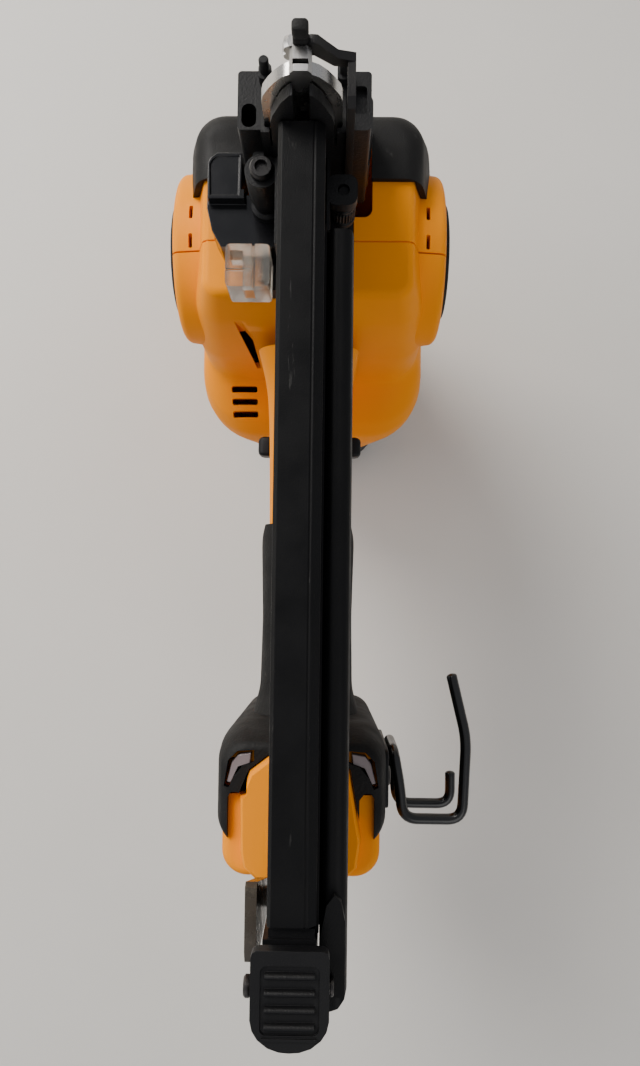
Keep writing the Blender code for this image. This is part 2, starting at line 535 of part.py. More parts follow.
def magazine():
    """Track, sliding cover with its pusher, and the latch at the tail."""
    track = box("magazine_track", (-MAG_HALF, MAG_REAR_Y, MAG_BASE_Z), (MAG_HALF, MAG_FRONT_Y, MAG_TOP_Z),
                "black_anodised", bevel=1.0)
    cut(track, box("track_slot", (-1.0, -300, 222), (20, 0, 276), helper=True))
    cover = box("magazine_cover", (6.9, -251, 216), (15, -35, 272), "black_anodised", bevel=1.4)
    join(cover, box("cover_tongue", (1.0, -251, 222.4), (7.2, -35.5, 275.6), helper=True))
    cut(cover, box("cover_end_space", (-2, -260, 200), (7.3, -228.7, 290), helper=True),
        box("spring_pocket", (0, -47, 243), (6.6, -36, 255), helper=True),
        box("cover_hollow", (3.4, -260, 226), (12.6, -55, 269), helper=True))
    box("pusher", (-0.7, -33, 224), (0.7, -11, 274), "steel")
    roll = rod("pusher_spring", "X", (-41.5, 249), 4.2, 1.8, 6.0, "steel", sides=20)
    cut(roll, rod("spring_eye", "X", (-41.5, 249), 1.6, 0, 10, helper=True, sides=12))
    end = prism("magazine_end", "X", [(-229, 226), (-229, 279.5), (-241, 279.5), (-253, 273.5), (-253, 232), (-248, 226)],
                -7.6, 6.6, "black_plastic")
    cut(end, rod("end_pin_bore", "X", LATCH_PIVOT, 1.9, -20, 20, helper=True, sides=12))
    rod("latch_pin", "X", LATCH_PIVOT, 1.6, -12.6, 11.4, "dark_steel", sides=12)
    latch = box("magazine_latch", (-10.2, -255, 281.3), (10.2, -229.6, 285.4), "black_plastic", bevel=1.4)
    for side, name in ((-1, "left"), (1, "right")):
        span = sorted((side * 8.0, side * 10.2))
        join(latch, box(f"latch_ear_{name}", (span[0], -247, 272.8), (span[1], -238, 282), helper=True))
    cut(latch, rod("latch_bore", "X", LATCH_PIVOT, 1.9, -20, 20, helper=True, sides=12))
    for i in range(4):
        y = -235.9 - 4.2 * i
        join(latch, box(f"latch_rib_{i}", (-6.5, y - 1.0, 284.4), (6.5, y + 1.0, 286.2), helper=True, bevel=0.4))
    tail = prism("tail_bracket", "X", [(-221, 262), (-246, 262), (-246, 214.6), (-237, 214.6), (-233, 222)], -14, -10.6,
                 "smoked_plastic")
    join(tail, box("tail_link", (-13.8, -244, 214.7), (-6, -238, 217.6), helper=True),
         box("tail_foot", (-6.4, -244.5, 214.6), (6, -204, 217.7), helper=True))


def stall_lever():
    lever = box("stall_lever", (-6, -66.5, 12), (6, -42, 18), "black_plastic", bevel=1.2)
    join(lever, rod("lever_trunnion", "X", LEVER_PIVOT, 2.6, -9, 9, helper=True, sides=12))


def housing_screws():
    for name, (y, z) in HOUSING_SCREWS.items():
        outer = BOSS_END[name]
        screw = rod(f"housing_screw_{name}", "X", (y, z), 3.0, 6.3, 8.8, "dark_steel", sides=14, chamfer=0.4)
        join(screw, rod(f"screw_shank_{name}", "X", (y, z), 1.3, -min(12, outer - 4), 7, helper=True, sides=10))


def build():
    clear_scene()
    housing()
    cap_and_bumper()
    badges()
    grip()
    lamps()
    battery_bay()
    belt_hook()
    frame()
    motor()
    driver()
    roller_and_solenoid()
    trigger_group()
    nose()
    side_pieces()
    magazine()
    stall_lever()
    housing_screws()


build()
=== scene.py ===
import json
import math
import bpy
import numpy as np
from mathutils import Matrix, Vector


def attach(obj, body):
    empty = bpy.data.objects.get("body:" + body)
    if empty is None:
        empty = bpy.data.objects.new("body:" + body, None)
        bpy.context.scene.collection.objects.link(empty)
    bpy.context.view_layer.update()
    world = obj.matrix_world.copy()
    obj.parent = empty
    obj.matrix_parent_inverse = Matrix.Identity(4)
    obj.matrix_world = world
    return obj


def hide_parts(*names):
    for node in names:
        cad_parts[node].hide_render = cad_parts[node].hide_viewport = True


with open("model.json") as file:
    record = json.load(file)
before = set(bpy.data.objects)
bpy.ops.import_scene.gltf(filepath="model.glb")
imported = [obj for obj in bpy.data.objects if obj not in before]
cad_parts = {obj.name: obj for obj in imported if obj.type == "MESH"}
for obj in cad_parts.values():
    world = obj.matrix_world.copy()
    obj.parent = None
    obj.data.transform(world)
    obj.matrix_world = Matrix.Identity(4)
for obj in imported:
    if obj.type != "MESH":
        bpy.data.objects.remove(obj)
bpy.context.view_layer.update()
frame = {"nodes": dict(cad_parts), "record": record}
nodes = frame["nodes"]
mm = 0.001


cameraSetup = {
    "place": (0.0090, -0.134, 0.508),   # above the magazine, a little over half a metre from the floor
    "tilt": 3.03,                       # degrees off straight down, towards the nose
    "roll": 0.65,
    "sideTurn": 0.67,
    "lens": 28.7,                       # millimetres
    "sensor": 36.0,                     # height in millimetres
    "nearest": 0.01,
}


def addCamera():
    cameraData = bpy.data.cameras.new("mainCamera")
    cameraData.sensor_fit = "VERTICAL"
    cameraData.sensor_height = cameraSetup["sensor"]
    cameraData.lens = cameraSetup["lens"]
    cameraData.clip_start = cameraSetup["nearest"]
    camera = bpy.data.objects.new("mainCamera", cameraData)
    bpy.context.scene.collection.objects.link(camera)
    camera.location = cameraSetup["place"]
    turn = Matrix.Rotation(math.radians(cameraSetup["tilt"]), 4, "X")
    side = Matrix.Rotation(math.radians(cameraSetup["sideTurn"]), 4, "Y")
    roll = Matrix.Rotation(math.radians(cameraSetup["roll"]), 4, "Z")
    camera.rotation_euler = (turn @ side @ roll).to_euler()
    bpy.context.scene.camera = camera


floorSetup = {
    "size": 3.0, "rows": 60, "colour": (0.62, 0.60, 0.56),
    "drop": 0.0002,                     # just under the cap it carries
    "bend": 0.55, "rise": 1.6,          # where the sheet starts to curve up, and how fast
}


def addFloor():
    # a flat sheet that curves up far behind the nose:
    # its height grows with the square of the distance past the bend
    count = floorSetup["rows"]
    u, v = np.meshgrid(np.linspace(-1, 1, count), np.linspace(-1, 1, count), indexing="ij")
    x = u * floorSetup["size"] / 2
    y = v * floorSetup["size"] / 2
    past = np.clip(y - floorSetup["bend"], 0, None)
    z = past ** 2 * floorSetup["rise"] - floorSetup["drop"]
    points = np.stack([x, y, z], -1).reshape(-1, 3)
    index = np.arange(count * count).reshape(count, count)
    faces = np.stack([index[:-1, :-1], index[1:, :-1], index[1:, 1:], index[:-1, 1:]], -1).reshape(-1, 4)
    mesh = bpy.data.meshes.new("floor")
    mesh.from_pydata(points.tolist(), [], faces.tolist())
    mesh.shade_smooth()
    floor = bpy.data.objects.new("floor", mesh)
    bpy.context.scene.collection.objects.link(floor)
    mesh.materials.append(floorMaterial())


lightSetup = {
    "overhead": {"place": (-0.85, 0.95, 1.35), "size": 1.0, "power": 36.0, "aim": (0, -0.1, 0.1)},
    "fill": {"place": (0.6, -1.2, 1.3), "size": 1.3, "power": 6.0, "aim": (0, -0.25, 0.0)},
    "left": {"place": (-1.1, 0.1, 0.9), "size": 0.9, "power": 6.0, "aim": (0, -0.1, 0.15)},
}
lampColour = (1.0, 0.97, 0.93)
roomSetup = {"colour": (0.92, 0.94, 1.0, 1), "strength": 0.5}


def addLights():
    for name, setup in lightSetup.items():
        data = bpy.data.lights.new(name, "AREA")
        data.shape = "DISK"
        data.size = setup["size"]
        data.energy = setup["power"]
        data.color = lampColour
        light = bpy.data.objects.new(name, data)
        bpy.context.scene.collection.objects.link(light)
        light.location = setup["place"]
        aim = Vector(setup["aim"]) - Vector(setup["place"])
        light.rotation_euler = aim.to_track_quat("-Z", "Y").to_euler()
    world = bpy.data.worlds.new("softRoom")
    bpy.context.scene.world = world
    world.use_nodes = True
    background = world.node_tree.nodes["Background"]
    background.inputs["Color"].default_value = roomSetup["colour"]
    background.inputs["Strength"].default_value = roomSetup["strength"]


def startMaterial(name):
    made = bpy.data.materials.new(name)
    made.use_nodes = True
    tree = made.node_tree
    shader = tree.nodes["Principled BSDF"]
    coordinates = tree.nodes.new("ShaderNodeTexCoord")
    return made, tree, shader, coordinates.outputs["Object"]


def noise(tree, vector, scale, detail=3.0, stretch=None, roughness=0.5):
    if stretch:
        mapping = tree.nodes.new("ShaderNodeMapping")
        mapping.inputs["Scale"].default_value = stretch
        tree.links.new(vector, mapping.inputs["Vector"])
        vector = mapping.outputs["Vector"]
    node = tree.nodes.new("ShaderNodeTexNoise")
    node.inputs["Scale"].default_value = scale
    node.inputs["Detail"].default_value = detail
    node.inputs["Roughness"].default_value = roughness
    tree.links.new(vector, node.inputs["Vector"])
    return node.outputs["Fac"]


def ramp(tree, factor, stops):
    node = tree.nodes.new("ShaderNodeValToRGB")
    node.color_ramp.elements[0].position, node.color_ramp.elements[0].color = stops[0]
    node.color_ramp.elements[1].position, node.color_ramp.elements[1].color = stops[-1]
    for position, colour in stops[1:-1]:
        element = node.color_ramp.elements.new(position)
        element.color = colour
    tree.links.new(factor, node.inputs["Fac"])
    return node.outputs["Color"]


def grey(value):
    return (value, value, value, 1)


def mixColour(tree, factor, first, second):
    node = tree.nodes.new("ShaderNodeMix")
    node.data_type = "RGBA"
    tree.links.new(factor, node.inputs["Factor"])
    for socket, value in ((node.inputs["A"], first), (node.inputs["B"], second)):
        if isinstance(value, tuple):
            socket.default_value = value
        else:
            tree.links.new(value, socket)
    return node.outputs["Result"]


def toRange(tree, factor, low, high, fromLow=0.0, fromHigh=1.0):
    node = tree.nodes.new("ShaderNodeMapRange")
    node.inputs["From Min"].default_value = fromLow
    node.inputs["From Max"].default_value = fromHigh
    node.inputs["To Min"].default_value = low
    node.inputs["To Max"].default_value = high
    tree.links.new(factor, node.inputs["Value"])
    return node.outputs["Result"]


def bump(tree, height, strength, distance, under=None):
    node = tree.nodes.new("ShaderNodeBump")
    node.inputs["Strength"].default_value = strength
    node.inputs["Distance"].default_value = distance
    tree.links.new(height, node.inputs["Height"])
    if under is not None:
        tree.links.new(under, node.inputs["Normal"])
    return node.outputs["Normal"]


def wornMaterial(name, setup):
    # the base colour varies slowly; scuffs and dust, and on the tail's dark plastic a painted sheen,
    # show at the peaks of a finer noise, and a fine grain lifts the surface
    made, tree, shader, vector = startMaterial(name)
    base = (*setup["colour"], 1)
    shade = tuple(c * setup.get("shade", 0.8) for c in setup["colour"]) + (1,)
    slow = ramp(tree, noise(tree, vector, setup.get("patch", 30), 2), [(0.3, grey(0)), (0.7, grey(1))])
    colour = mixColour(tree, slow, shade, base)
    scuffAndSheen = noise(tree, vector, setup.get("scuffAndSheenScale", 140), 6, setup.get("stretch"), 0.65)
    low = setup.get("scuffAndSheenFrom", 0.66)
    # this mask lays on scuffs and dust, and for the tail's dark plastic also painted pale sheen
    scuffAndSheenMask = ramp(tree, scuffAndSheen, [(low, grey(0)), (min(low + 0.12, 1.0), grey(setup.get("scuffAndSheen", 0.35)))])
    colour = mixColour(tree, scuffAndSheenMask, colour, (*setup.get("scuffAndSheenColour", (0.5, 0.48, 0.45)), 1))
    tree.links.new(colour, shader.inputs["Base Color"])
    rough = setup["roughness"]
    spread = setup.get("spread", 0.1)
    tree.links.new(toRange(tree, noise(tree, vector, setup.get("patch", 30) * 3, 4),
                           rough - spread, rough + spread, 0.3, 0.7), shader.inputs["Roughness"])
    shader.inputs["Metallic"].default_value = setup.get("metallic", 0.0)
    shader.inputs["Specular IOR Level"].default_value = setup.get("specular", 0.5)
    if "through" in setup:
        shader.inputs["Transmission Weight"].default_value = setup["through"]
        shader.inputs["IOR"].default_value = 1.45
    if "coat" in setup:
        shader.inputs["Coat Weight"].default_value = setup["coat"]
        shader.inputs["Coat Roughness"].default_value = 0.12
    fine = noise(tree, vector, setup.get("grain", 2600), 2)
    normal = bump(tree, fine, setup.get("grainStrength", 0.3), 0.0002)
    normal = bump(tree, scuffAndSheen, 0.15, 0.0002, normal)
    tree.links.new(normal, shader.inputs["Normal"])
    return made


finishes = {
    "yellowPlastic": {"colour": (0.90, 0.285, 0.0), "roughness": 0.46, "spread": 0.04, "shade": 0.97,
                      "scuffAndSheen": 0.03, "scuffAndSheenColour": (0.9, 0.45, 0.08), "grain": 3000, "grainStrength": 0.12,
                      "specular": 0.07},
    "blackPlastic": {"colour": (0.005, 0.005, 0.0055), "roughness": 0.44, "scuffAndSheen": 0.06, "grainStrength": 0.4,
                     "specular": 0.2},
    "glossBlack": {"colour": (0.004, 0.004, 0.005), "roughness": 0.16, "spread": 0.04, "scuffAndSheen": 0.05,
                   "grainStrength": 0.05, "specular": 0.5},
    "blackRubber": {"colour": (0.008, 0.0076, 0.0074), "roughness": 0.6, "specular": 0.22, "scuffAndSheen": 0.14,
                    "grain": 1800, "grainStrength": 0.6, "scuffAndSheenColour": (0.25, 0.24, 0.23)},
    "oxidedSteel": {"colour": (0.022, 0.021, 0.021), "roughness": 0.36, "metallic": 0.6, "scuffAndSheen": 0.3,
                    "specular": 0.4},
    "hookBlack": {"colour": (0.004, 0.004, 0.004), "roughness": 0.22, "specular": 0.5, "scuffAndSheen": 0.1,
                  "spread": 0.05, "grainStrength": 0.15},
    "gripRubber": {"colour": (0.0075, 0.0072, 0.007), "roughness": 0.66, "specular": 0.2, "scuffAndSheen": 0.16,
                   "grain": 900, "grainStrength": 1.0, "scuffAndSheenColour": (0.22, 0.21, 0.20)},
    "natural": {"colour": (0.10, 0.09, 0.08), "roughness": 0.8},
    "blackCast": {"colour": (0.007, 0.007, 0.0075), "roughness": 0.46, "specular": 0.25, "scuffAndSheen": 0.25,
                  "scuffAndSheenColour": (0.30, 0.29, 0.28), "grain": 1500, "grainStrength": 0.5},
    "blackAnodised": {"colour": (0.0035, 0.0035, 0.0038), "roughness": 0.42, "specular": 0.14, "scuffAndSheen": 0.14,
                      "scuffAndSheenScale": 260, "stretch": (1, 0.12, 1), "grainStrength": 0.3},
    "groundSteel": {"colour": (0.56, 0.55, 0.53), "roughness": 0.27, "metallic": 1.0, "scuffAndSheen": 0.4,
                    "shade": 0.75, "scuffAndSheenColour": (0.16, 0.13, 0.11), "stretch": (1, 1, 0.15),
                    "grainStrength": 0.2},
    "darkSteel": {"colour": (0.075, 0.07, 0.068), "roughness": 0.38, "metallic": 0.9, "scuffAndSheen": 0.3},
    "clearPad": {"colour": (0.80, 0.76, 0.68), "roughness": 0.16, "shade": 0.9, "scuffAndSheen": 0.3, "through": 0.9},
    "lampLens": {"colour": (0.24, 0.19, 0.19), "roughness": 0.14, "shade": 0.75, "scuffAndSheen": 0.3,
                 "scuffAndSheenColour": (0.8, 0.76, 0.76), "coat": 0.8},
    # dark grey plastic: the brown tint is a painted reflection of the yellow body, and the wide pale patches
    # are painted sheen as well as scuffs
    "darkPlasticReflectionTint": {"colour": (0.055, 0.043, 0.030), "roughness": 0.30, "shade": 0.6, "scuffAndSheen": 0.5,
                     "scuffAndSheenColour": (0.20, 0.17, 0.12), "scuffAndSheenFrom": 0.55, "patch": 80},
    "woundCopper": {"colour": (0.72, 0.33, 0.15), "roughness": 0.34, "metallic": 1.0, "stretch": (1, 12, 12)},
    "boardGreen": {"colour": (0.02, 0.15, 0.06), "roughness": 0.45, "grainStrength": 0.6},
}
slotFinish = {
    "yellow_housing": "yellowPlastic", "black_plastic": "blackPlastic", "black_rubber": "blackRubber",
    "natural_rubber": "natural", "black_cast": "blackCast", "black_anodised": "blackAnodised",
    "steel": "groundSteel", "dark_steel": "darkSteel", "clear_plastic": "clearPad", "led_lens": "lampLens",
    "smoked_plastic": "darkPlasticReflectionTint", "copper": "woundCopper", "board_green": "boardGreen",
}


def floorMaterial():
    made, tree, shader, vector = startMaterial("floorLaminate")
    base = floorSetup["colour"]
    slow = noise(tree, vector, 6, 4)
    colour = mixColour(tree, slow, (*[c * 0.92 for c in base], 1), (*[min(1, c * 1.06) for c in base], 1))
    tree.links.new(colour, shader.inputs["Base Color"])
    tree.links.new(toRange(tree, slow, 0.5, 0.62), shader.inputs["Roughness"])
    tree.links.new(bump(tree, noise(tree, vector, 500, 2), 0.05, 0.0005), shader.inputs["Normal"])
    return made


materials = {}


def finish(name):
    if name not in materials:
        materials[name] = wornMaterial(name, finishes[name])
    return materials[name]


def dressNodes():
    # every CAD node takes the finish of its slot, welded and given a small softened edge
    slotOf = {entry["node"]: entry["material_slot"] for entry in frame["record"]["subparts"]}
    for name, node in nodes.items():
        node.data.materials.clear()
        node.data.materials.append(finish(slotFinish[slotOf[name]]))
        weld = node.modifiers.new("weld", "WELD")
        weld.merge_threshold = 0.000002
        edge = node.modifiers.new("edge", "BEVEL")
        edge.width = 0.0003
        edge.segments = 2
        edge.limit_method = "ANGLE"
        edge.angle_limit = math.radians(40)
        edge.use_clamp_overlap = True
        edge.harden_normals = True


def newPiece(name, points, faces, finishName, body, smoothAngle=35):
    # points are in millimetres; the finished object stays at the origin
    mesh = bpy.data.meshes.new(name)
    mesh.from_pydata((np.asarray(points, float) * mm).tolist(), [], [tuple(f) for f in faces])
    mesh.update()
    shadeByAngle(mesh, smoothAngle)
    piece = bpy.data.objects.new(name, mesh)
    bpy.context.scene.collection.objects.link(piece)
    if finishName:
        mesh.materials.append(finish(finishName))
    if body:
        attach(piece, body)
    return piece


def shadeByAngle(mesh, angle):
    mesh.shade_smooth()
    mesh.set_sharp_from_angle(angle=math.radians(angle))


def gridFaces(rows, columns, wrap):
    index = np.arange(rows * columns).reshape(rows, columns)
    if wrap:
        index = np.concatenate([index, index[:, :1]], axis=1)
    return np.stack([index[:-1, :-1], index[:-1, 1:], index[1:, 1:], index[1:, :-1]], -1).reshape(-1, 4)


def ringSkin(name, rings, finishName=None, body=None, smoothAngle=35):
    # rings has one closed outline per row; rows are joined in order and both ends are capped
    rings = np.asarray(rings, float)
    rows, columns = rings.shape[:2]
    faces = gridFaces(rows, columns, True).tolist()
    faces.append(list(range(columns))[::-1])
    faces.append(list(range((rows - 1) * columns, rows * columns)))
    piece = newPiece(name, rings.reshape(-1, 3), faces, finishName, body, smoothAngle)
    faceOutwards(piece, smoothAngle)
    return piece


def faceOutwards(piece, smoothAngle=35):
    # turns the whole skin if its signed volume is negative
    mesh = piece.data
    mesh.calc_loop_triangles()
    corners = np.empty(len(mesh.loop_triangles) * 3, dtype=np.int32)
    mesh.loop_triangles.foreach_get("vertices", corners)
    places = np.empty(len(mesh.vertices) * 3)
    mesh.vertices.foreach_get("co", places)
    a, b, c = places.reshape(-1, 3)[corners.reshape(-1, 3)].transpose(1, 0, 2)
    if np.einsum("ij,ij->i", a, np.cross(b, c)).sum() < 0:
        mesh.flip_normals()
        shadeByAngle(mesh, smoothAngle)


def roundedOutline(halfX, front, rear, radius, arc=10, side=6):
    # a rectangle with quarter-circle corners, as arrays over the sections:
    # corner centre plus radius times (cos, sin), and even points between the corners
    halfX, front, rear, radius = (np.asarray(v, float)[..., None] for v in (halfX, front, rear, radius))
    middle, halfY = (front + rear) / 2, (front - rear) / 2
    radius = np.minimum(radius, np.minimum(halfX, halfY) - 0.05)
    angle = np.linspace(0, np.pi / 2, arc + 1)
    parts = []
    for turn, (sx, sy) in enumerate(((1, 1), (-1, 1), (-1, -1), (1, -1))):
        a = angle + turn * np.pi / 2
        parts.append(np.stack([sx * (halfX - radius) + radius * np.cos(a),
                               middle + sy * (halfY - radius) + radius * np.sin(a)], -1))
    corners = np.concatenate(parts, axis=-2)
    between = []
    count = arc + 1
    for turn in range(4):
        start = corners[..., turn * count:(turn + 1) * count, :]
        last = start[..., -1:, :]
        following = corners[..., ((turn + 1) * count) % (4 * count):((turn + 1) * count) % (4 * count) + 1, :]
        t = (np.arange(1, side + 1) / (side + 1))[:, None]
        between += [start, last * (1 - t) + following * t]
    return np.concatenate(between, axis=-2)


def smoothTable(table, rows, blur):
    # each column is read along the first one by straight lines, then averaged over a bell-shaped window
    table = np.asarray(table, float)
    along = np.linspace(table[0, 0], table[-1, 0], rows)
    window = np.exp(-0.5 * (np.arange(-3 * blur, 3 * blur + 1) / blur) ** 2)
    window /= window.sum()
    columns = [along]
    for column in table.T[1:]:
        line = np.interp(along, table[:, 0], column)
        slope0, slope1 = line[1] - line[0], line[-1] - line[-2]
        pad = 3 * blur
        before = line[0] - slope0 * np.arange(pad, 0, -1)
        after = line[-1] + slope1 * np.arange(1, pad + 1)
        columns.append(np.convolve(np.concatenate([before, line, after]), window, "valid"))
    return np.stack(columns, -1)


def uprightSkin(name, table, rows=90, blur=2, grow=0.0, edge=0.0, finishName=None):
    # rounded sections stacked along Z: columns are Z, half width, front Y, rear Y and corner radius;
    # at the top the outline draws in round a quarter circle of radius edge
    sections = smoothTable(table, rows, blur)
    z, halfX, front, rear, radius = sections.T
    inset = np.zeros_like(z)
    if edge:
        angle = np.linspace(0, np.pi / 2, 9)[1:]
        z = np.concatenate([z[z < z[-1] - edge], z[-1] - edge + edge * np.sin(angle)])
        halfX, front, rear, radius = (np.interp(z, sections[:, 0], column) for column in sections.T[1:])
        inset = np.zeros_like(z)
        inset[-8:] = edge * (1 - np.cos(angle))
    outline = roundedOutline(halfX + grow - inset, front + grow - inset, rear - grow + inset,
                             np.maximum(radius + grow - inset, 1.0))
    rings = np.concatenate([outline, np.broadcast_to(z[:, None, None], (*outline.shape[:2], 1))], -1)
    return ringSkin(name, rings, finishName)


def lengthwiseSkin(name, table, rows=90, blur=2, grow=0.0, finishName=None):
    # rounded sections in XZ carried along Y: columns are Y, half width, high Z, low Z and corner radius
    sections = smoothTable(table, rows, blur)
    y, halfX, high, low, radius = sections.T
    outline = roundedOutline(halfX + grow, high + grow, low - grow, radius + grow)
    rings = np.stack([outline[..., 0], np.broadcast_to(y[:, None], outline.shape[:2]), outline[..., 1]], -1)
    return ringSkin(name, rings, finishName)


def turned(name, axis, centre, profile, finishName=None, body=None, count=96, ripple=None):
    # a profile of (radius, place) turned round an axis;
    # ripple adds depth times cos(number times angle) to the rows between its two places
    profile = np.asarray(profile, float)
    angle = np.linspace(0, 2 * np.pi, count, endpoint=False)
    radius = np.repeat(profile[:, :1], count, axis=1)
    if ripple:
        depth, number, low, high = ripple
        rows = (profile[:, 1] >= low) & (profile[:, 1] <= high)
        radius[rows] += depth * np.cos(number * angle)
    across, up = radius * np.cos(angle), radius * np.sin(angle)
    along = np.repeat(profile[:, 1:], count, axis=1)
    order = {"X": (along, centre[0] + across, centre[1] + up),
             "Y": (centre[0] + across, along, centre[1] + up),
             "Z": (centre[0] + across, centre[1] + up, along)}[axis]
    return ringSkin(name, np.stack(order, -1), finishName, body)


def prismSkin(name, axis, outline, start, end, finishName=None):
    # a flat outline carried straight along one axis
    outline = np.asarray(outline, float)
    rings = []
    for along in (start, end):
        line = np.full(len(outline), along)
        u, v = outline.T
        rings.append(np.stack({"X": (line, u, v), "Y": (u, line, v), "Z": (u, v, line)}[axis], -1))
    return ringSkin(name, rings, finishName, None, 30)


def block(name, low, high, radius=0.0, finishName=None):
    # a box whose four upright edges are rounded
    outline = roundedOutline((high[0] - low[0]) / 2, high[1], low[1], max(radius, 0.01), 5, 1)
    outline = outline + [(low[0] + high[0]) / 2, 0]
    rings = [np.concatenate([outline, np.full((len(outline), 1), z)], -1) for z in (low[2], high[2])]
    return ringSkin(name, rings, finishName)


def tube(name, route, radius, finishName, body, sides=24):
    # a circle carried along a smooth path: the frame at each point is turned the least from the one before
    route = np.asarray(route, float)
    tangent = np.gradient(route, axis=0)
    tangent /= np.linalg.norm(tangent, axis=1, keepdims=True)
    angle = np.linspace(0, 2 * np.pi, sides, endpoint=False)
    side = np.cross(tangent[0], (0, 0, 1) if abs(tangent[0][2]) < 0.9 else (0, 1, 0))
    rings = []
    for place, ahead in zip(route, tangent):
        side = side - ahead * np.dot(side, ahead)
        side = side / np.linalg.norm(side)
        other = np.cross(ahead, side)
        rings.append(place + radius * np.cos(angle)[:, None] * side + radius * np.sin(angle)[:, None] * other)
    ends = 1 - np.sqrt(1 - np.linspace(1, 0, 5)[:-1] ** 2 * 0.96)
    first = [route[0] - tangent[0] * radius * 0.5 * t + (rings[0] - route[0]) * (1 - e)
             for t, e in zip(np.linspace(1, 0.2, 4), ends)]
    last = [route[-1] + tangent[-1] * radius * 0.5 * t + (rings[-1] - route[-1]) * (1 - e)
            for t, e in zip(np.linspace(0.2, 1, 4), ends[::-1])]
    return ringSkin(name, [*first, *rings, *last], finishName, body)


def bentPath(corners, radius, step=1.2):
    # straight runs joined by curves: each leaves its run the given radius before the corner,
    # and meets the next run as far after it
    corners = [np.asarray(c, float) for c in corners]
    path = [corners[0]]
    for before, corner, after in zip(corners, corners[1:], corners[2:]):
        into, out = before - corner, after - corner
        reach = min(radius, np.linalg.norm(into) * 0.49, np.linalg.norm(out) * 0.49)
        start = corner + into / np.linalg.norm(into) * reach
        end = corner + out / np.linalg.norm(out) * reach
        t = np.linspace(0, 1, 9)[:, None]
        path += list(start * (1 - t) ** 2 + corner * 2 * t * (1 - t) + end * t ** 2)
    path.append(corners[-1])
    path = np.array(path)
    length = np.concatenate([[0], np.cumsum(np.linalg.norm(np.diff(path, axis=0), axis=1))])
    even = np.linspace(0, length[-1], max(int(length[-1] / step), 8))
    return np.stack([np.interp(even, length, path[:, k]) for k in range(3)], -1)


def applied(piece):
    # the piece's modifiers become its mesh
    graph = bpy.context.evaluated_depsgraph_get()
    mesh = bpy.data.meshes.new_from_object(piece.evaluated_get(graph))
    piece.modifiers.clear()
    piece.data = mesh
    return piece


def combine(piece, others, operation, smoothAngle=35):
    for other in others:
        modifier = piece.modifiers.new("cut", "BOOLEAN")
        modifier.object = other
        modifier.operation = operation
        modifier.solver = "EXACT"
    applied(piece)
    for other in others:
        bpy.data.objects.remove(other)
    shadeByAngle(piece.data, smoothAngle)
    return piece


def cutAway(piece, *cutters):
    return combine(piece, cutters, "DIFFERENCE")


def fuse(piece, *others):
    return combine(piece, others, "UNION")


def softenEdges(piece, width, segments=2):
    edge = piece.modifiers.new("edge", "BEVEL")
    edge.width = width * mm
    edge.segments = segments
    edge.limit_method = "ANGLE"
    edge.angle_limit = math.radians(38)
    edge.harden_normals = True
    return piece


housingSetup = {
    "gap": 0.15,          # half the seam between the two mouldings
    "wall": 2.6,
    "body": [(28.3, 37, 33, -62, 22), (70, 43, 38, -67, 26), (104, 50, 41, -69, 26),
             (113, 50.4, 41, -67.5, 25), (121, 50, 41, -62, 22), (127, 49, 41, -54, 19),
             (131.5, 47, 41, -46, 15), (160, 47, 41, -43.5, 13), (190, 43, 37, -38, 10),
             (208, 38, 31, -32.5, 6)],
    "handle": [(-200, 17.0, 176, 124, 13), (-180, 16.0, 172, 126, 13), (-150, 15.6, 170, 127, 13),
               (-100, 16.0, 172, 128, 13), (-72, 16.0, 178, 128, 12), (-58, 16.6, 183, 122, 12),
               (-46, 19.5, 192, 112, 12)],
    "foot": [(92, 26.0, -194, -236, 8), (120, 27.5, -190, -238, 9), (190, 28.5, -190, -239, 9),
             (207, 27.5, -193, -238, 9)],
    "cheekX": 51.6, "cheekR": 33.0, "cheek": (-4.5, 165.0), "badgeR": 23.8, "ventY": (-49.5, -54.5, -59.5),
}


keelSetup = {
    # plan of the raised seat under the magazine, and its rings as (height, scale)
    "plan": [(-15.5, -236.6), (-19.4, -233), (-20.4, -228), (-20.8, -209), (-17.5, -201), (-11, -196),
             (12, -196), (16.4, -200.5), (20.6, -224), (19.4, -233), (15.5, -236.6)],
    "middle": (0.0, -217.0),
    "reach": 18.0,        # about half its width, which turns an added margin into a scale
    "rings": [(199.0, 1.07), (211.5, 1.0), (213.2, 0.985), (214.0, 0.95)],
}


def keelSkin(grow):
    # the plan scaled about its middle at each height
    plan = np.asarray(keelSetup["plan"], float) - keelSetup["middle"]
    rings = [np.column_stack([plan * (scale + grow / keelSetup["reach"]) + keelSetup["middle"],
                              np.full(len(plan), z + grow)]) for z, scale in keelSetup["rings"]]
    return ringSkin("keel", rings)


def sectionAt(table, z):
    # one row of a section table, read at a height by straight lines
    table = np.asarray(table, float)
    return [z, *(np.interp(z, table[:, 0], column) for column in table.T[1:])]


def bandCutter(table, z, height, keep, depth):
    # a ring between two skins: it cuts a groove of the given depth over a short height
    low, high = sectionAt(table, z), sectionAt(table, z + height)
    outer = uprightSkin("bandOuter", [low, high], 3, 1, grow=6)
    below, above = sectionAt(table, z - 2), sectionAt(table, z + height + 2)
    inner = uprightSkin("bandInner", [below, above], 3, 1, grow=keep - depth)
    return cutAway(outer, inner)


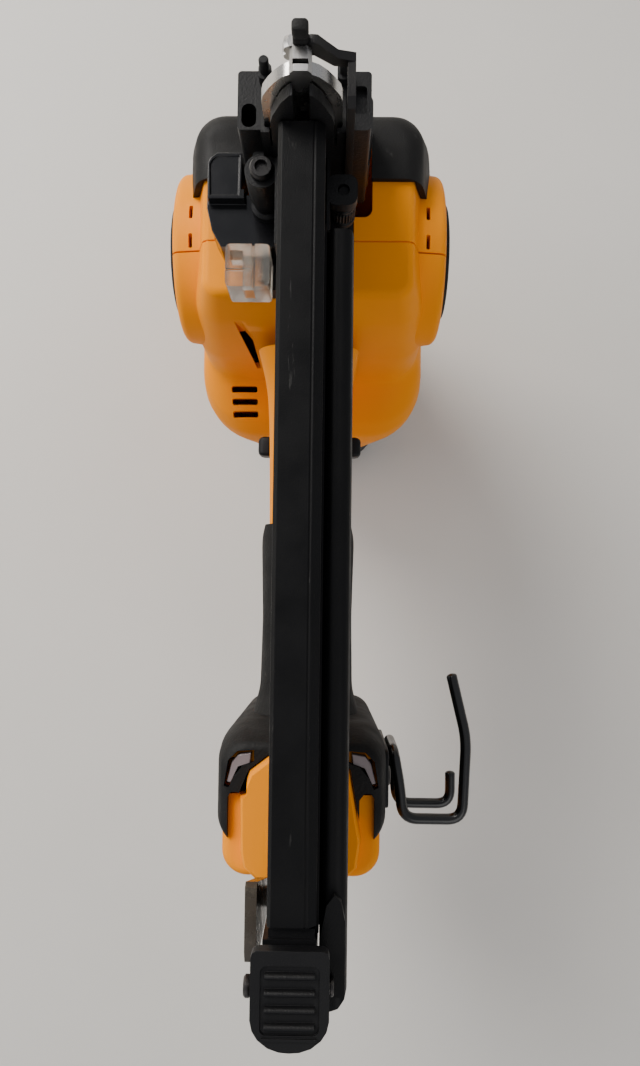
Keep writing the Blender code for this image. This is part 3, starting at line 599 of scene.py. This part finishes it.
def housingCutters(side):
    # everything hollow or open in one half
    h = housingSetup
    inner = h["body"][1:-1]
    body = uprightSkin("hollowBody", [(22, 36.4, 32.5, -61.5, 22), *inner, (205.4, 38.6, 31.6, -33.1, 9)],
                       80, 1, grow=-h["wall"])
    foot = uprightSkin("hollowFoot", [(95, 23, -196, -223, 6), (203, 25.5, -194, -223, 6)], 6)
    handle = lengthwiseSkin("hollowHandle", h["handle"], 30, grow=-h["wall"])
    cutters = [body, foot, handle, block("bayWide", (-24, -234, 80), (24, -225.5, 198), 1.0),
               block("bayMouth", (-19.5, -250, 80), (19.5, -225.5, 198), 1.0),
               block("noseOpening", (-23, -4, 190), (23, 70, 230), 3.0),
               block("magazineRelief", (-16.4, -60, 204.8), (16.4, -3, 230), 3.0),
               block("triggerOpening", (-6, -112, 160), (6, -76, 195), 3.0),
               block("lockOpening", (-40, -83.5, 146), (40, -74.5, 155), 1.5),
               turned("badgeRecess", "X", h["cheek"], [(h["badgeR"], side * (h["cheekX"] - 2.4)),
                                                       (h["badgeR"], side * 70)]),
               block("lampWindow", (min(side * 18.5, side * 40), -209.5, 196),
                     (max(side * 18.5, side * 40), -197, 230), 1.5)]
    # the fine parting line across the near panel and the small slots at the root of each cheek
    parting = uprightSkin("partingOuter", [(150, 60, 60, -60, 20), (215, 60, 60, -60, 20)], 3, 1)
    core = uprightSkin("partingCore", [(120, *h["body"][-4][1:]), *h["body"][-3:-1],
                                       (207.4, 37.6, 30.6, -32.1, 6)], 40, 1, grow=-0.7)
    combine(parting, [block("partingSlab", (-52, -13.2, 172), (52, -12.6, 215))], "INTERSECT")
    cutters.append(cutAway(parting, core))
    cutters += [block("cheekSlot", (min(side * 43.6, side * 45), y - 2.6, 160),
                      (max(side * 43.6, side * 45), y + 2.6, 215), 0.4) for y in (2.0, -9.0)]
    if side < 0:
        wedge = [(-28.2, -37.6), (-25.2, -37.4), (-22.6, -39.0), (-21.2, -44.6), (-22.8, -44.8),
                 (-26.0, -40.6)]
        cutters.append(prismSkin("wedge", "Z", wedge, 148, 215))
        cutters += [prismSkin("vent", "Z", roundedOutline(5.8, 1.3, -1.3, 0.8, 5, 1) + [-30.2, y], 104, 136)
                    for y in h["ventY"]]
    return cutters


def addHousing():
    # each half is the union of body, cheek, handle and foot, hollowed, opened and trimmed at the seam
    h = housingSetup
    for side, name in ((-1, "left"), (1, "right")):
        body = uprightSkin(f"housing_{name}_shell", h["body"], 150, 1, edge=2.5, finishName="yellowPlastic")
        r, x = h["cheekR"], h["cheekX"]
        angle = np.linspace(0, np.pi / 2, 8)
        rim = np.stack([r - 3.5 + 3.5 * np.sin(angle), side * (x - 3.5 + 3.5 * np.cos(angle))], -1)
        cheek = turned("cheek", "X", h["cheek"], [(0.5, side * x), (15, side * x), *rim, (r + 1.5, side * 38),
                                                  (r + 3, side * 30), (0.5, side * 30)])
        handle = lengthwiseSkin("handle", h["handle"], 70)
        foot = uprightSkin("foot", h["foot"], 40, edge=3.0)
        fuse(body, cheek, handle, foot, keelSkin(0.0))
        cutAway(body, *housingCutters(side))
        posts(body, side)
        other = block("otherSide", (-120, -300, -20), (side * h["gap"], 100, 300)) if side > 0 else \
            block("otherSide", (side * h["gap"], -300, -20), (120, 100, 300))
        cutAway(body, other)
        softenEdges(body, 0.5)
        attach(body, "tool_body")
        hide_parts(f"housing_{name}")
        print("housing half", name, len(body.data.polygons))


screwPlaces = {"rear": (-44.0, 62.0, 40.6), "front": (20.0, 62.0, 40.6), "foot": (-206.0, 118.0, 26.4)}


def posts(body, side):
    # screw posts between the walls, counterbored on the right
    for y, z, end in screwPlaces.values():
        fuse(body, turned("post", "X", (y, z), [(5.2, 0), (5.2, side * end)], count=32))
        if side > 0:
            cutAway(body, turned("bore", "X", (y, z), [(1.8, -5), (1.8, 6), (3.4, 6), (3.4, 80)], count=32))
        else:
            cutAway(body, turned("bore", "X", (y, z), [(1.7, 5), (1.7, 3 - end)], count=24))


def addCap():
    capSections = [(0, 31, 27, -60, 16), (1.2, 32.6, 28.6, -61, 17), (3.2, 34, 30, -62, 18),
                   (28, 37, 33, -62, 22)]
    cap = uprightSkin("top_cap_shell", capSections, 60, 1, finishName="blackPlastic")
    inside = uprightSkin("capInside", [(3.5, 30.5, 26.5, -58.5, 15), (33, 34.5, 30.5, -59.5, 20)], 8)
    slot = block("leverSlot", (-6.5, -70, 8), (6.5, -45, 22), 0.5)
    grooves = []
    for z in (12.0, 17.0, 22.0):
        outer = uprightSkin("grooveOuter", [(z, 45, 45, -75, 25), (z + 1.2, 45, 45, -75, 25)], 3, 1)
        inner = uprightSkin("grooveInner", [(z - 1, 34.3, 30.6, -61.2, 20),
                                            (z + 3, 34.9, 31.0, -61.2, 20)], 3, 1)
        cutAway(outer, inner, block("keepRear", (-20, -90, 0), (20, 0, 40)))
        grooves.append(outer)
    cutAway(cap, inside, slot, *grooves)
    softenEdges(cap, 0.4)
    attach(cap, "tool_body")
    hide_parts("top_cap")


def addBumper():
    # the black guard over the front shoulders:
    # the body's own skin grown outwards and kept in front of the cheeks
    h = housingSetup
    near = (210.2, 38, 31, -32.5, 8)
    outer = uprightSkin("front_guard", [*h["body"][1:-1], near], 110, 2, grow=2.4, edge=6.0,
                        finishName="blackRubber")
    inner = uprightSkin("guardInside", [*h["body"][1:-1], (208.3, 38, 31, -32.5, 8)], 110, 2, grow=0.3)
    keep = prismSkin("keep", "X", [(14, 112), (9, 140), (8.2, 175), (8.2, 204), (9.6, 212), (9.6, 230),
                                   (80, 230), (80, 112)], -80, 80)
    combine(outer, [keep], "INTERSECT")
    opening = block("opening", (-22.6, 0, 190), (22.6, 70, 240), 2.0)
    steps = [bandCutter(h["body"], z, 1.0, 2.4, 0.8) for z in (166.0, 171.0, 176.0, 181.0)]
    steps = [cutAway(step, block("keepSides", (-36, -90, 100), (36, 90, 230))) for step in steps]
    cheeks = [turned("relief", "X", h["cheek"], [(h["cheekR"] + 0.7, side * 30),
                                                 (h["cheekR"] + 0.7, side * 80)]) for side in (-1, 1)]
    cutAway(outer, inner, opening, *cheeks, *steps)
    softenEdges(outer, 0.6)
    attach(outer, "tool_body")
    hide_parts("front_bumper")


def addBadges():
    # plain round badge: a raised rim, a shallow dish and a centre boss, given as radius against depth
    h = housingSetup
    for side, name in ((-1, "left"), (1, "right")):
        floor = side * (h["cheekX"] - 2.1)
        top = side * (h["cheekX"] + 2.2)
        step = side * 0.5
        profile = [(0.3, floor), (23.4, floor), (23.5, top - 3 * step), (23.0, top - step), (22.2, top),
                   (21.2, top), (20.8, top - step), (20.2, top - 2 * step), (9.6, top - 2 * step),
                   (9.0, top - step), (8.2, top - step), (7.6, top - 2 * step), (0.3, top - 2 * step)]
        badge = turned(f"badge_{name}_disc", "X", h["cheek"], profile, "blackRubber", "tool_body", 128)
        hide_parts(f"badge_{name}")


addHousing()
addCap()
addBumper()
addBadges()
print("housing, cap, guard and badges ready")


gripSetup = {
    "sleeve": [(-193, 24, 182, 118, 15), (-188, 21, 178, 122, 15), (-178, 18.6, 174, 124, 15),
               (-150, 18.2, 172, 125, 15), (-118, 18.9, 173.6, 124.5, 15), (-112.5, 17.6, 173.8, 126.2, 14)],
    "foot": [(112, 28.2, -187.6, -227, 9), (190, 30.4, -187.4, -227, 10), (206, 29.6, -189.2, -227, 10),
             (210.4, 27.4, -191.6, -227, 9)],
    # plan of one finger gap, on the right; the yellow foot shows through it
    "gap": [(25.4, -230), (25.4, -210), (24.2, -208.2), (22.0, -208.2), (20.2, -210.5), (20.2, -230)],
    # plan of the lamp window, on the right, rear corner first
    "window": [(16.4, -193.8), (22.2, -194.2), (25.4, -197.4), (26.8, -206.2), (25.2, -206.8), (23.4, -203.0),
               (20.4, -199.4), (16.4, -198.0)],
}


def mirrored(plan, side):
    plan = np.asarray(plan, float) * [side, 1]
    return plan if side > 0 else plan[::-1]


def shrunk(plan, distance):
    # every corner moves towards the middle of the plan by the same distance
    plan = np.asarray(plan, float)
    towards = plan.mean(axis=0) - plan
    return plan + towards / np.linalg.norm(towards, axis=1, keepdims=True) * distance


def addGrip():
    g, h = gripSetup, housingSetup
    sleeve = lengthwiseSkin("grip_rubber", g["sleeve"], 80, 2, 0.0, "gripRubber")
    foot = uprightSkin("gripFoot", g["foot"], 60, 2, edge=2.2)
    fuse(sleeve, foot)
    bore = lengthwiseSkin("gripBore", h["handle"], 60, 2, grow=0.3)
    footSections = [(60, 24, -196, -300, 8), *[(z, x, f, -300, c) for z, x, f, r, c in h["foot"]]]
    under = uprightSkin("gripUnder", footSections, 50, 2, grow=0.3)
    cutAway(sleeve, bore, under, keelSkin(0.5))
    cutAway(sleeve, block("hookRecess", (20, -217.6, 150.4), (60, -195.4, 197.6), 1.0))
    for side in (-1, 1):
        cutAway(sleeve, prismSkin("fingerGap", "Z", mirrored(g["gap"], side), 150, 230),
                prismSkin("lampWindow", "Z", mirrored(g["window"], side), 190, 230))
    softenEdges(sleeve, 0.5)
    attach(sleeve, "tool_body")
    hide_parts("grip_overmould")


def addLamps():
    for side, name in ((-1, "left"), (1, "right")):
        plan = mirrored(shrunk(gripSetup["window"], 1.3), side)
        rings = [np.column_stack([shrunk(plan, inset), np.full(len(plan), z)])
                 for z, inset in ((197.0, 0.0), (208.4, 0.0), (209.2, 0.4))]
        lens = ringSkin(f"lamp_{name}_lens", rings, "lampLens", "tool_body")
        softenEdges(lens, 0.25)
        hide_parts(f"lamp_lens_{name}")


magazineSetup = {
    "profile": [(-6.6, 218.4), (-6.6, 278.7), (-5.5, 280), (4.3, 280), (6.6, 277.9), (6.6, 218.4), (6.2, 218),
                (-6.2, 218)],
    "cover": (6.9, 15.0, 216.0, 272.0),
    "coverPlan": [(6.9, -251), (10.2, -251), (12.6, -250.2), (14.3, -248.2), (15, -245.6), (15, -36.2),
                  (14.4, -35), (6.9, -35)],
    "latchPlan": [(-10.2, -231.6), (-10.2, -247), (-9.6, -249.6), (-8.2, -251.8), (-5.6, -253.8),
                  (-2.6, -254.8), (0, -255), (2.6, -254.8), (5.6, -253.8), (8.2, -251.8), (9.6, -249.6),
                  (10.2, -247), (10.2, -231.6), (9.8, -230.2), (8.6, -229.6), (-8.6, -229.6), (-9.8, -230.2)],
    "latchPivot": (-242.6, 276.0),
}


def addMagazine():
    m = magazineSetup
    track = prismSkin("magazine_rail", "Y", m["profile"], -226, -8, "blackAnodised")
    cutAway(track, block("slot", (-1, -300, 222), (20, 0, 276)))
    groove = prismSkin("groove", "Y", [(3.3, 279.65), (3.7, 279.65), (3.9, 280.5), (3.1, 280.5)], -300, 0)
    cutAway(track, groove)
    softenEdges(track, 0.25)
    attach(track, "tool_body")
    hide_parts("magazine_track")

    low, high, base, top = m["cover"]
    outline = roundedOutline((high - low) / 2, top, base, 3.3, 8, 3) + [(low + high) / 2, 0]
    cover = prismSkin("magazine_slide_rail", "Y", outline, -251, -35, "blackAnodised")
    combine(cover, [prismSkin("plan", "Z", m["coverPlan"], 200, 290)], "INTERSECT")
    # the raised shoulder at the tail that the end block butts against
    shoulder = [(7.4, -231.5), (9.2, -222), (11.4, -219.2), (13.2, -221), (14.2, -226), (14.2, -246),
                (7.4, -246)]
    fuse(cover, block("tongue", (1.0, -251, 222.4), (7.2, -35.5, 275.6)),
         prismSkin("shoulder", "Z", shoulder, 262, 274.6))
    cutAway(cover, block("endSpace", (-2, -260, 200), (7.3, -228.7, 290)),
            block("springPocket", (0, -47, 243), (6.6, -36, 255)),
            block("hollow", (3.4, -260, 226), (12.6, -55, 269)))
    softenEdges(cover, 0.35)
    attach(cover, "cover")
    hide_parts("magazine_cover")

    end = prismSkin("magazine_end_block", "X", [(-229, 226), (-229, 279.5), (-241, 279.5), (-253, 273.5),
                                                (-253, 232), (-248, 226)], -7.6, 6.6, "blackPlastic")
    fuse(end, block("nib", (-6.2, -230, 226.4), (6.2, -226.7, 278)))
    cutAway(end, turned("bore", "X", m["latchPivot"], [(1.9, -20), (1.9, 20)], count=24))
    softenEdges(end, 0.6)
    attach(end, "cover")
    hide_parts("magazine_end")

    latch = prismSkin("tail_latch_pad", "Z", m["latchPlan"], 281.3, 285.2, "blackPlastic")
    fuse(latch, *[prismSkin("ear", "X", [(-247, 274), (-245.5, 272.8), (-239.5, 272.8), (-238, 274),
                                         (-236, 282), (-248, 282)], *sorted((side * 8.0, side * 10.2)))
                  for side in (-1, 1)])
    cutAway(latch, turned("bore", "X", m["latchPivot"], [(1.9, -20), (1.9, 20)], count=24),
            block("padRecess", (-7.6, -250.6, 284.6), (7.6, -233.4, 290), 1.6))
    rise = np.linspace(0, np.pi, 9)
    rib = np.column_stack([1.0 * np.cos(rise), 284.3 + 1.9 * np.sin(rise)])
    fuse(latch, *[prismSkin("rib", "X", rib + [-235.9 - 4.2 * i, 0], -6.5, 6.5) for i in range(4)],
         prismSkin("line", "X", [(-251.9, 284.8), (-251.9, 285.7), (-251.2, 285.7), (-251.2, 284.8)],
                   -7.2, 7.2))
    softenEdges(latch, 0.35)
    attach(latch, "tail_latch")
    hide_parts("magazine_latch")

    pinProfile = [(0.4, -12.6), (2.4, -12.6), (2.9, -12.1), (2.9, -11.2), (2.5, -10.6), (1.6, -10.5),
                  (1.6, 7.0), (1.6, 10.5), (2.3, 10.6), (2.3, 11.1), (1.9, 11.4), (0.4, 11.4)]
    pin = turned("tail_pin_rod", "X", m["latchPivot"], pinProfile, "darkSteel", "cover", 40)
    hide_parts("latch_pin")

    tailSide = [(-221, 260), (-222, 262), (-240, 262), (-243.5, 260), (-245, 256), (-246, 214.6),
                (-237, 214.6), (-233, 222)]
    # dark plastic with a painted brown reflection of the yellow body and painted pale sheen over its scuffs
    tail = prismSkin("tail_guard", "X", tailSide, -14, -10.6, "darkPlasticReflectionTint")
    fuse(tail, block("tailLink", (-13.8, -244, 214.7), (-6, -238, 217.6)),
         block("tailFoot", (-6.4, -244.5, 214.6), (6, -204, 217.7), 1.0))
    softenEdges(tail, 0.7)
    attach(tail, "tool_body")
    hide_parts("tail_bracket")


addGrip()
addLamps()
addMagazine()
print("grip, lamps and magazine ready")


noseSetup = {
    "plate": [(18, 96), (18, 213.5), (-29, 213.5), (-29, 196), (-36, 180), (-36, 96)],
    "guide": [(-3, 291), (-5.4, 287.6), (-8.2, 281), (-9, 277), (-9, 250), (9, 250), (9, 277), (8.2, 281),
              (5.4, 287.6), (3, 291)],
    "wings": [(-3.2, 294), (-5.0, 292.9), (-7.2, 290.4), (-9.2, 287.2), (-10.6, 284.4), (-11.2, 281.6),
              (-11.2, 262.3), (11.2, 262.3), (11.2, 281.6), (10.6, 284.4), (9.2, 287.2), (7.2, 290.4),
              (5.0, 292.9), (3.2, 294)],
    "wheel": (12.0, -17.2), "screw": (-13.0, -10.5), "motor": (-22.0, 152.0), "arm": (14.5, 188.0),
    "hinge": (4.2, 241.0), "rail": 10.4,
}


def bore(axis, centre, radius, start, end, count=32):
    return turned("bore", axis, centre, [(radius, start), (radius, end)], count=count)


def addFrame():
    n = noseSetup
    casting = block("nose_casting", (-22, 13, 213), (22, 29, 230), 3.0, "blackCast")
    lugs = []
    for side in (-1, 1):
        low, high = sorted((side * 9.7, side * 20.0))
        lugs += [block("lug", (low, -1, 213), (high, 17, 262), 1.2),
                 block("pinSeat", (min(side * 9.7, side * 13.6), 12.2, 255),
                       (max(side * 9.7, side * 13.6), 17, 266), 1.4),
                 turned("pin", "Z", (side * 11.7, 14.8), [(1.5, 258), (1.5, 271), (1.1, 271.6)], count=24),
                 prismSkin("plate", "X", n["plate"], *sorted((side * 13, side * 16))),
                 prismSkin("cheekRib", "X", [(17, 240), (17, 258), (-4, 270), (-6, 270), (-6, 240)],
                           *sorted((side * 9.75, side * 12.3)))]
    tubeProfile = [(5.4, 229.2), (5.4, 233), (4.2, 234), (4.2, 240), (5.3, 241), (5.3, 256)]
    fuse(casting,
         block("flange", (-21, 4, 213), (21, 15, 229), 2.0),
         block("rearBlock", (-8.8, -34, 205), (7.9, -5, 258), 0.8),
         block("frontBlock", (-12, -6, 205), (12, 0, 262), 1.0),
         block("bridge", (-16, -33, 205), (16, 26, 214), 2.0),
         prismSkin("guide", "Y", n["guide"], -7.4, -4.0),
         turned("bossTube", "Z", n["screw"], tubeProfile, count=48),
         block("bossWeb", (-16, -9, 236.5), (-8, -4, 255), 1.5),
         block("wheelEar", (7, -22, 253.5), (16.2, -12.5, 258), 3.0), *lugs)
    cutAway(casting, block("magazineSlot", (-6.9, -60, 217.2), (6.9, -7.7, 300)),
            block("driverWay", (-7.5, -5.4, 190), (7.5, 5.4, 224)),
            block("bladeWay", (-2.3, -9, 200), (2.3, 2, 300)),
            block("doorPocket", (-9.7, 0, 237), (9.7, 22, 280)), bore("X", n["motor"], 9.4, -40, 40, 64),
            bore("X", n["arm"], 2.8, -40, 40), bore("X", n["hinge"], 1.7, -15, 15),
            bore("Z", n["wheel"], 1.8, 250, 262), bore("Z", n["screw"], 2.6, 235, 262),
            *[bore("Z", (x, 0), 1.5, 190, 211.5, 24) for x in (-n["rail"], n["rail"])],
            prismSkin("oval", "Z", roundedOutline(2.2, 7.0, -0.2, 2.1, 8, 1) + [-16.6, 0], 244, 280),
            prismSkin("rightPocket", "Z", roundedOutline(2.4, 12.5, 4.0, 1.0, 5, 1) + [16.2, 0], 259.5, 280),
            *[prismSkin("archSlot", "Z", roundedOutline(0.9, -1.6, -4.6, 0.85, 6, 1) + [x, 0], 252, 280)
              for x in (-10.4, 10.4)])
    softenEdges(casting, 0.45)
    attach(casting, "tool_body")
    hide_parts("frame_casting")

    head = [(0.4, 256.3), (3.6, 256.3), (3.6, 258.2), (3.1, 259.0), (2.0, 259.0), (1.7, 257.6), (0.4, 257.6)]
    screw = turned("boss_screw", "Z", n["screw"], head, "oxidedSteel", "tool_body", 48)
    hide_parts("nose_screw")


def addNosepiece():
    n = noseSetup
    wings = prismSkin("steel_nosepiece", "Y", n["wings"], -3.6, -0.1, "groundSteel")
    cap = [(-2.9, 278), (-2.9, 291.4), (-2.5, 291.8), (-2.5, 292.4), (-2.9, 292.8), (-2.9, 294.6),
           (-1.9, 295.8), (1.9, 295.8), (2.9, 294.6), (2.9, 292.8), (2.5, 292.4), (2.5, 291.8), (2.9, 291.4),
           (2.9, 278)]
    fuse(wings, prismSkin("cap", "Y", cap, -3.6, 3.0))
    cutAway(wings, block("channel", (-2.1, -1.7, 250), (2.1, -0.3, 300)),
            block("feed", (-1.2, -10, 250), (1.2, -0.6, 277)))
    softenEdges(wings, 0.4)
    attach(wings, "tool_body")
    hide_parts("nosepiece")


tripSetup = {
    "bar": [(-2.2, 290.6), (-2.2, 294.6), (2.6, 296.2), (4.4, 296.0), (9.8, 289.8), (14.6, 288.6),
            (14.6, 285.6), (8.6, 286.4), (3.4, 291.0)],
    "collar": [(1.2, 289.3), (3.3, 289.3), (3.9, 290.0), (4.1, 291.4), (3.5, 291.9), (3.5, 292.5),
               (4.0, 293.0), (3.7, 294.5), (2.6, 295.3), (0.3, 295.3)],
    "leg": [(-4.6, 227), (-4.6, 282), (-3.0, 285.6), (6.0, 285.6), (6.0, 288.6), (-6.0, 288.6), (-8.0, 286),
            (-8.0, 227)],
}


def addTrip():
    # the trip's long arm is dark; the rounded collar at its end is bright
    t = tripSetup
    arm = prismSkin("trip_arm", "Y", t["bar"], 3.5, 6.0, "oxidedSteel")
    fuse(arm, prismSkin("leg", "X", t["leg"], 12.4, 14.6),
         block("tab", (8.6, -20.8, 226), (15.6, -6.4, 229), 1.5))
    cutAway(arm, bore("Z", noseSetup["wheel"], 1.9, 220, 234),
            prismSkin("legSlot", "X", roundedOutline(0.9, 272, 250, 0.85, 6, 1) + [-6.3, 0], 0, 30))
    softenEdges(arm, 0.3)
    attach(arm, "trip")
    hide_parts("contact_trip")

    collar = turned("trip_collar", "Z", (-0.9, 4.8), t["collar"], "groundSteel", None, 72)
    keep = block("keep", (-6, 3.3, 280), (6, 6.5, 300), 0.0)
    combine(collar, [keep], "INTERSECT")
    cutAway(collar, block("barSpace", (-2.4, 3.45, 280), (8, 6.05, 294.8)))
    softenEdges(collar, 0.2)
    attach(collar, "trip")
    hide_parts("contact_trip")

    # the soft tip over the end of the trip: rounded corners and two shallow rings
    rows = [(295.4, 0.1), (297.0, 0.1), (297.3, 0.3), (297.8, 0.3), (298.1, 0.1), (299.2, 0.0), (301.3, 0.0),
            (301.8, 0.2), (302.0, 0.6)]
    outlines = [roundedOutline(2.2 - inset, 6.6 - inset, 3.2 + inset, 1.1 - inset, 6, 2) for z, inset in rows]
    rings = [np.column_stack([outline, np.full(len(outline), z)])
             for (z, inset), outline in zip(rows, outlines)]
    tip = ringSkin("soft_tip", rings, "blackRubber", "trip")
    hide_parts("no_mar_tip")


def addWheel():
    profile = [(0.3, 214.3), (1.5, 214.3), (1.5, 237.9), (3.4, 238), (3.9, 238.6), (3.9, 240.6), (3.4, 241.0),
               (3.4, 241.8), (3.9, 242.2), *[(3.85, z) for z in np.linspace(242.4, 247.4, 4)], (3.6, 247.8),
               (3.6, 248.6), (3.9, 248.9), (3.9, 249.6), (3.5, 250), (1.5, 250.1), (1.5, 257), (0.3, 257)]
    wheel = turned("depth_thumbwheel", "Z", noseSetup["wheel"], profile, "blackPlastic", "depth_adjuster",
                   192, (0.16, 24, 242.3, 247.5))
    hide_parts("depth_wheel")


sideSetup = {
    "pod": [(-33.4, 2.5), (-32.6, 4.6), (-30, 6.5), (-21.4, 6.5), (-21.4, -6.5), (-9.2, -6.5), (-9.2, -24),
            (-28.6, -24), (-31.6, -18.5), (-33.4, -11)],
    "panel": [(-32.6, 2.5), (-31.8, 4.2), (-29.7, 5.8), (-21.4, 5.8), (-21.4, -6.5), (-20.4, -6.5),
              (-20.4, -9.6), (-32.6, -9.6)],
    "hook": [(58.5, -212, 160), (58.5, -224, 160), (37, -224, 160), (36, -212, 160), (33.6, -198, 160),
             (33.6, -198, 188), (36, -211, 188), (37, -222.5, 188), (59, -222.5, 188), (60.5, -193, 188),
             (55, -170, 188)],
}


def addSidePieces():
    s = sideSetup
    pod = prismSkin("nose_pod", "Z", s["pod"], 214.3, 230.5, "glossBlack")
    fuse(pod, prismSkin("panel", "Z", s["panel"], 220, 235))
    cutAway(pod, prismSkin("inset", "Z", [(x * 0.86 - 3.8, y * 0.84 - 0.2) for x, y in s["panel"][:4]]
                           + [(-22.4, -8.4), (-31.6, -8.4)], 234.5, 240))
    softenEdges(pod, 0.9, segments=3)
    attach(pod, "tool_body")
    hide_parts("side_pod")

    pad = block("spare_contact_pad", (-26, -40, 222), (-11.5, -26, 238), 1.6, "clearPad")
    cutAway(pad, block("socket", (-20.5, -50, 226), (-17, -29, 234), 0.5),
            block("window", (-24.4, -31.4, 231.5), (-20.2, -28.2, 245), 0.6),
            block("rib", (-17.4, -50, 236.2), (-16.4, -25, 245)),
            block("rib", (-27, -34.8, 236.6), (-17.8, -34.0, 245)))
    fuse(pad, block("peg", (-15.4, -38.6, 228), (-13.2, -36.4, 238.9), 1.0))
    softenEdges(pad, 0.5)
    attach(pad, "tool_body")
    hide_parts("spare_pad")

    hook = tube("belt_hook_wire", bentPath(s["hook"], 5.5), 2.0, "hookBlack", "tool_body")
    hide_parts("belt_hook")


addFrame()
addNosepiece()
addTrip()
addWheel()
addSidePieces()
print("nose, side pieces and hook ready")


controlSetup = {
    "trigger": [(-77.5, 168), (-77.5, 176), (-81, 184), (-86, 185.5), (-93, 182.5), (-99, 182.5), (-106, 187),
                (-109, 185), (-108, 178), (-104, 170), (-95, 166), (-84, 166)],
    "triggerPivot": (-81.5, 171.0),
    "leverPivot": (-46.0, 15.0),
    "bar": (-79.0, 150.5),
}


def roundedLoop(corners, reach, steps=5):
    # every corner of a closed outline becomes a curve that starts and ends the same reach along its two sides
    corners = np.asarray(corners, float)
    before, after = np.roll(corners, 1, axis=0), np.roll(corners, -1, axis=0)
    into, out = before - corners, after - corners
    lengthIn = np.linalg.norm(into, axis=1, keepdims=True)
    lengthOut = np.linalg.norm(out, axis=1, keepdims=True)
    start = corners + into / lengthIn * np.minimum(reach, lengthIn * 0.45)
    end = corners + out / lengthOut * np.minimum(reach, lengthOut * 0.45)
    t = np.linspace(0, 1, steps)[None, :, None]
    curve = start[:, None] * (1 - t) ** 2 + corners[:, None] * 2 * t * (1 - t) + end[:, None] * t ** 2
    return curve.reshape(-1, 2)


def addControls():
    c = controlSetup
    trigger = prismSkin("trigger_lever_skin", "X", roundedLoop(c["trigger"], 3.0), -5.4, 5.4, "blackPlastic")
    # finger grooves across the pulled face
    lines = [(-88.5, 185.4), (-91.5, 183.9), (-94.5, 183.1), (-97.5, 183.1), (-100.5, 184.2), (-103.0, 185.9)]
    grooves = [bore("X", place, 0.5, -4.2, 4.2, 12) for place in lines]
    cutAway(trigger, bore("X", c["triggerPivot"], 2.0, -10, 10), *grooves)
    softenEdges(trigger, 0.8, segments=3)
    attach(trigger, "trigger_lever")
    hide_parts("trigger")

    # a square bar with domed ends, given as inset against place along X
    y, z = c["bar"]
    rows = [(-21.5, 1.6), (-21.2, 0.9), (-20.4, 0.3), (-19.2, 0.0), (-17.0, 0.0), (-16.6, 0.5), (16.6, 0.5),
            (17.0, 0.0), (19.2, 0.0), (20.4, 0.3), (21.2, 0.9), (21.5, 1.6)]
    outlines = [roundedOutline(4.1 - inset, 4.1 - inset, -4.1 + inset, 1.3, 6, 2) for x, inset in rows]
    rings = [np.column_stack([np.full(len(o), x), o[:, 0] + y, o[:, 1] + z])
             for (x, inset), o in zip(rows, outlines)]
    bar = ringSkin("lock_off_button", rings, "blackPlastic", "lock_off")
    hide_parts("lock_off_bar")

    leverSide = [(-66.5, 13), (-65.5, 12), (-42, 12), (-42, 18), (-58, 18), (-63, 17), (-66.5, 17.6)]
    lever = prismSkin("stall_lever_skin", "X", roundedLoop(leverSide, 1.0), -6, 6, "blackPlastic")
    fuse(lever, bore("X", c["leverPivot"], 2.6, -9, 9))
    cutAway(lever, *[bore("X", (y, 11.9), 0.5, -4.6, 4.6, 12) for y in (-63.5, -61.5, -59.5, -57.5)])
    softenEdges(lever, 0.4)
    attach(lever, "stall_release")
    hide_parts("stall_lever")

    plateSide = roundedLoop([(-217, 151), (-217, 197), (-196, 197), (-196, 151)], 3.0)
    plate = prismSkin("hook_mount", "X", plateSide, 28.8, 31.2, "blackPlastic")
    softenEdges(plate, 0.5)
    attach(plate, "tool_body")
    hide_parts("hook_plate")

    # a dished screw head with a six-sided socket
    head = [(0.4, 31.5), (4.0, 31.5), (4.0, 32.4), (3.4, 33.2), (2.6, 33.4), (0.4, 33.4)]
    screw = turned("hook_bolt", "X", (-210, 174), head, "darkSteel", None, 48)
    cutAway(screw, turned("socket", "X", (-210, 174), [(1.7, 32.4), (1.7, 36)], count=6))
    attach(screw, "tool_body")
    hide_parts("hook_screw")


addControls()
print("controls ready")


addCamera()
addFloor()
addLights()
dressNodes()
print("stage, camera and CAD finishes ready")
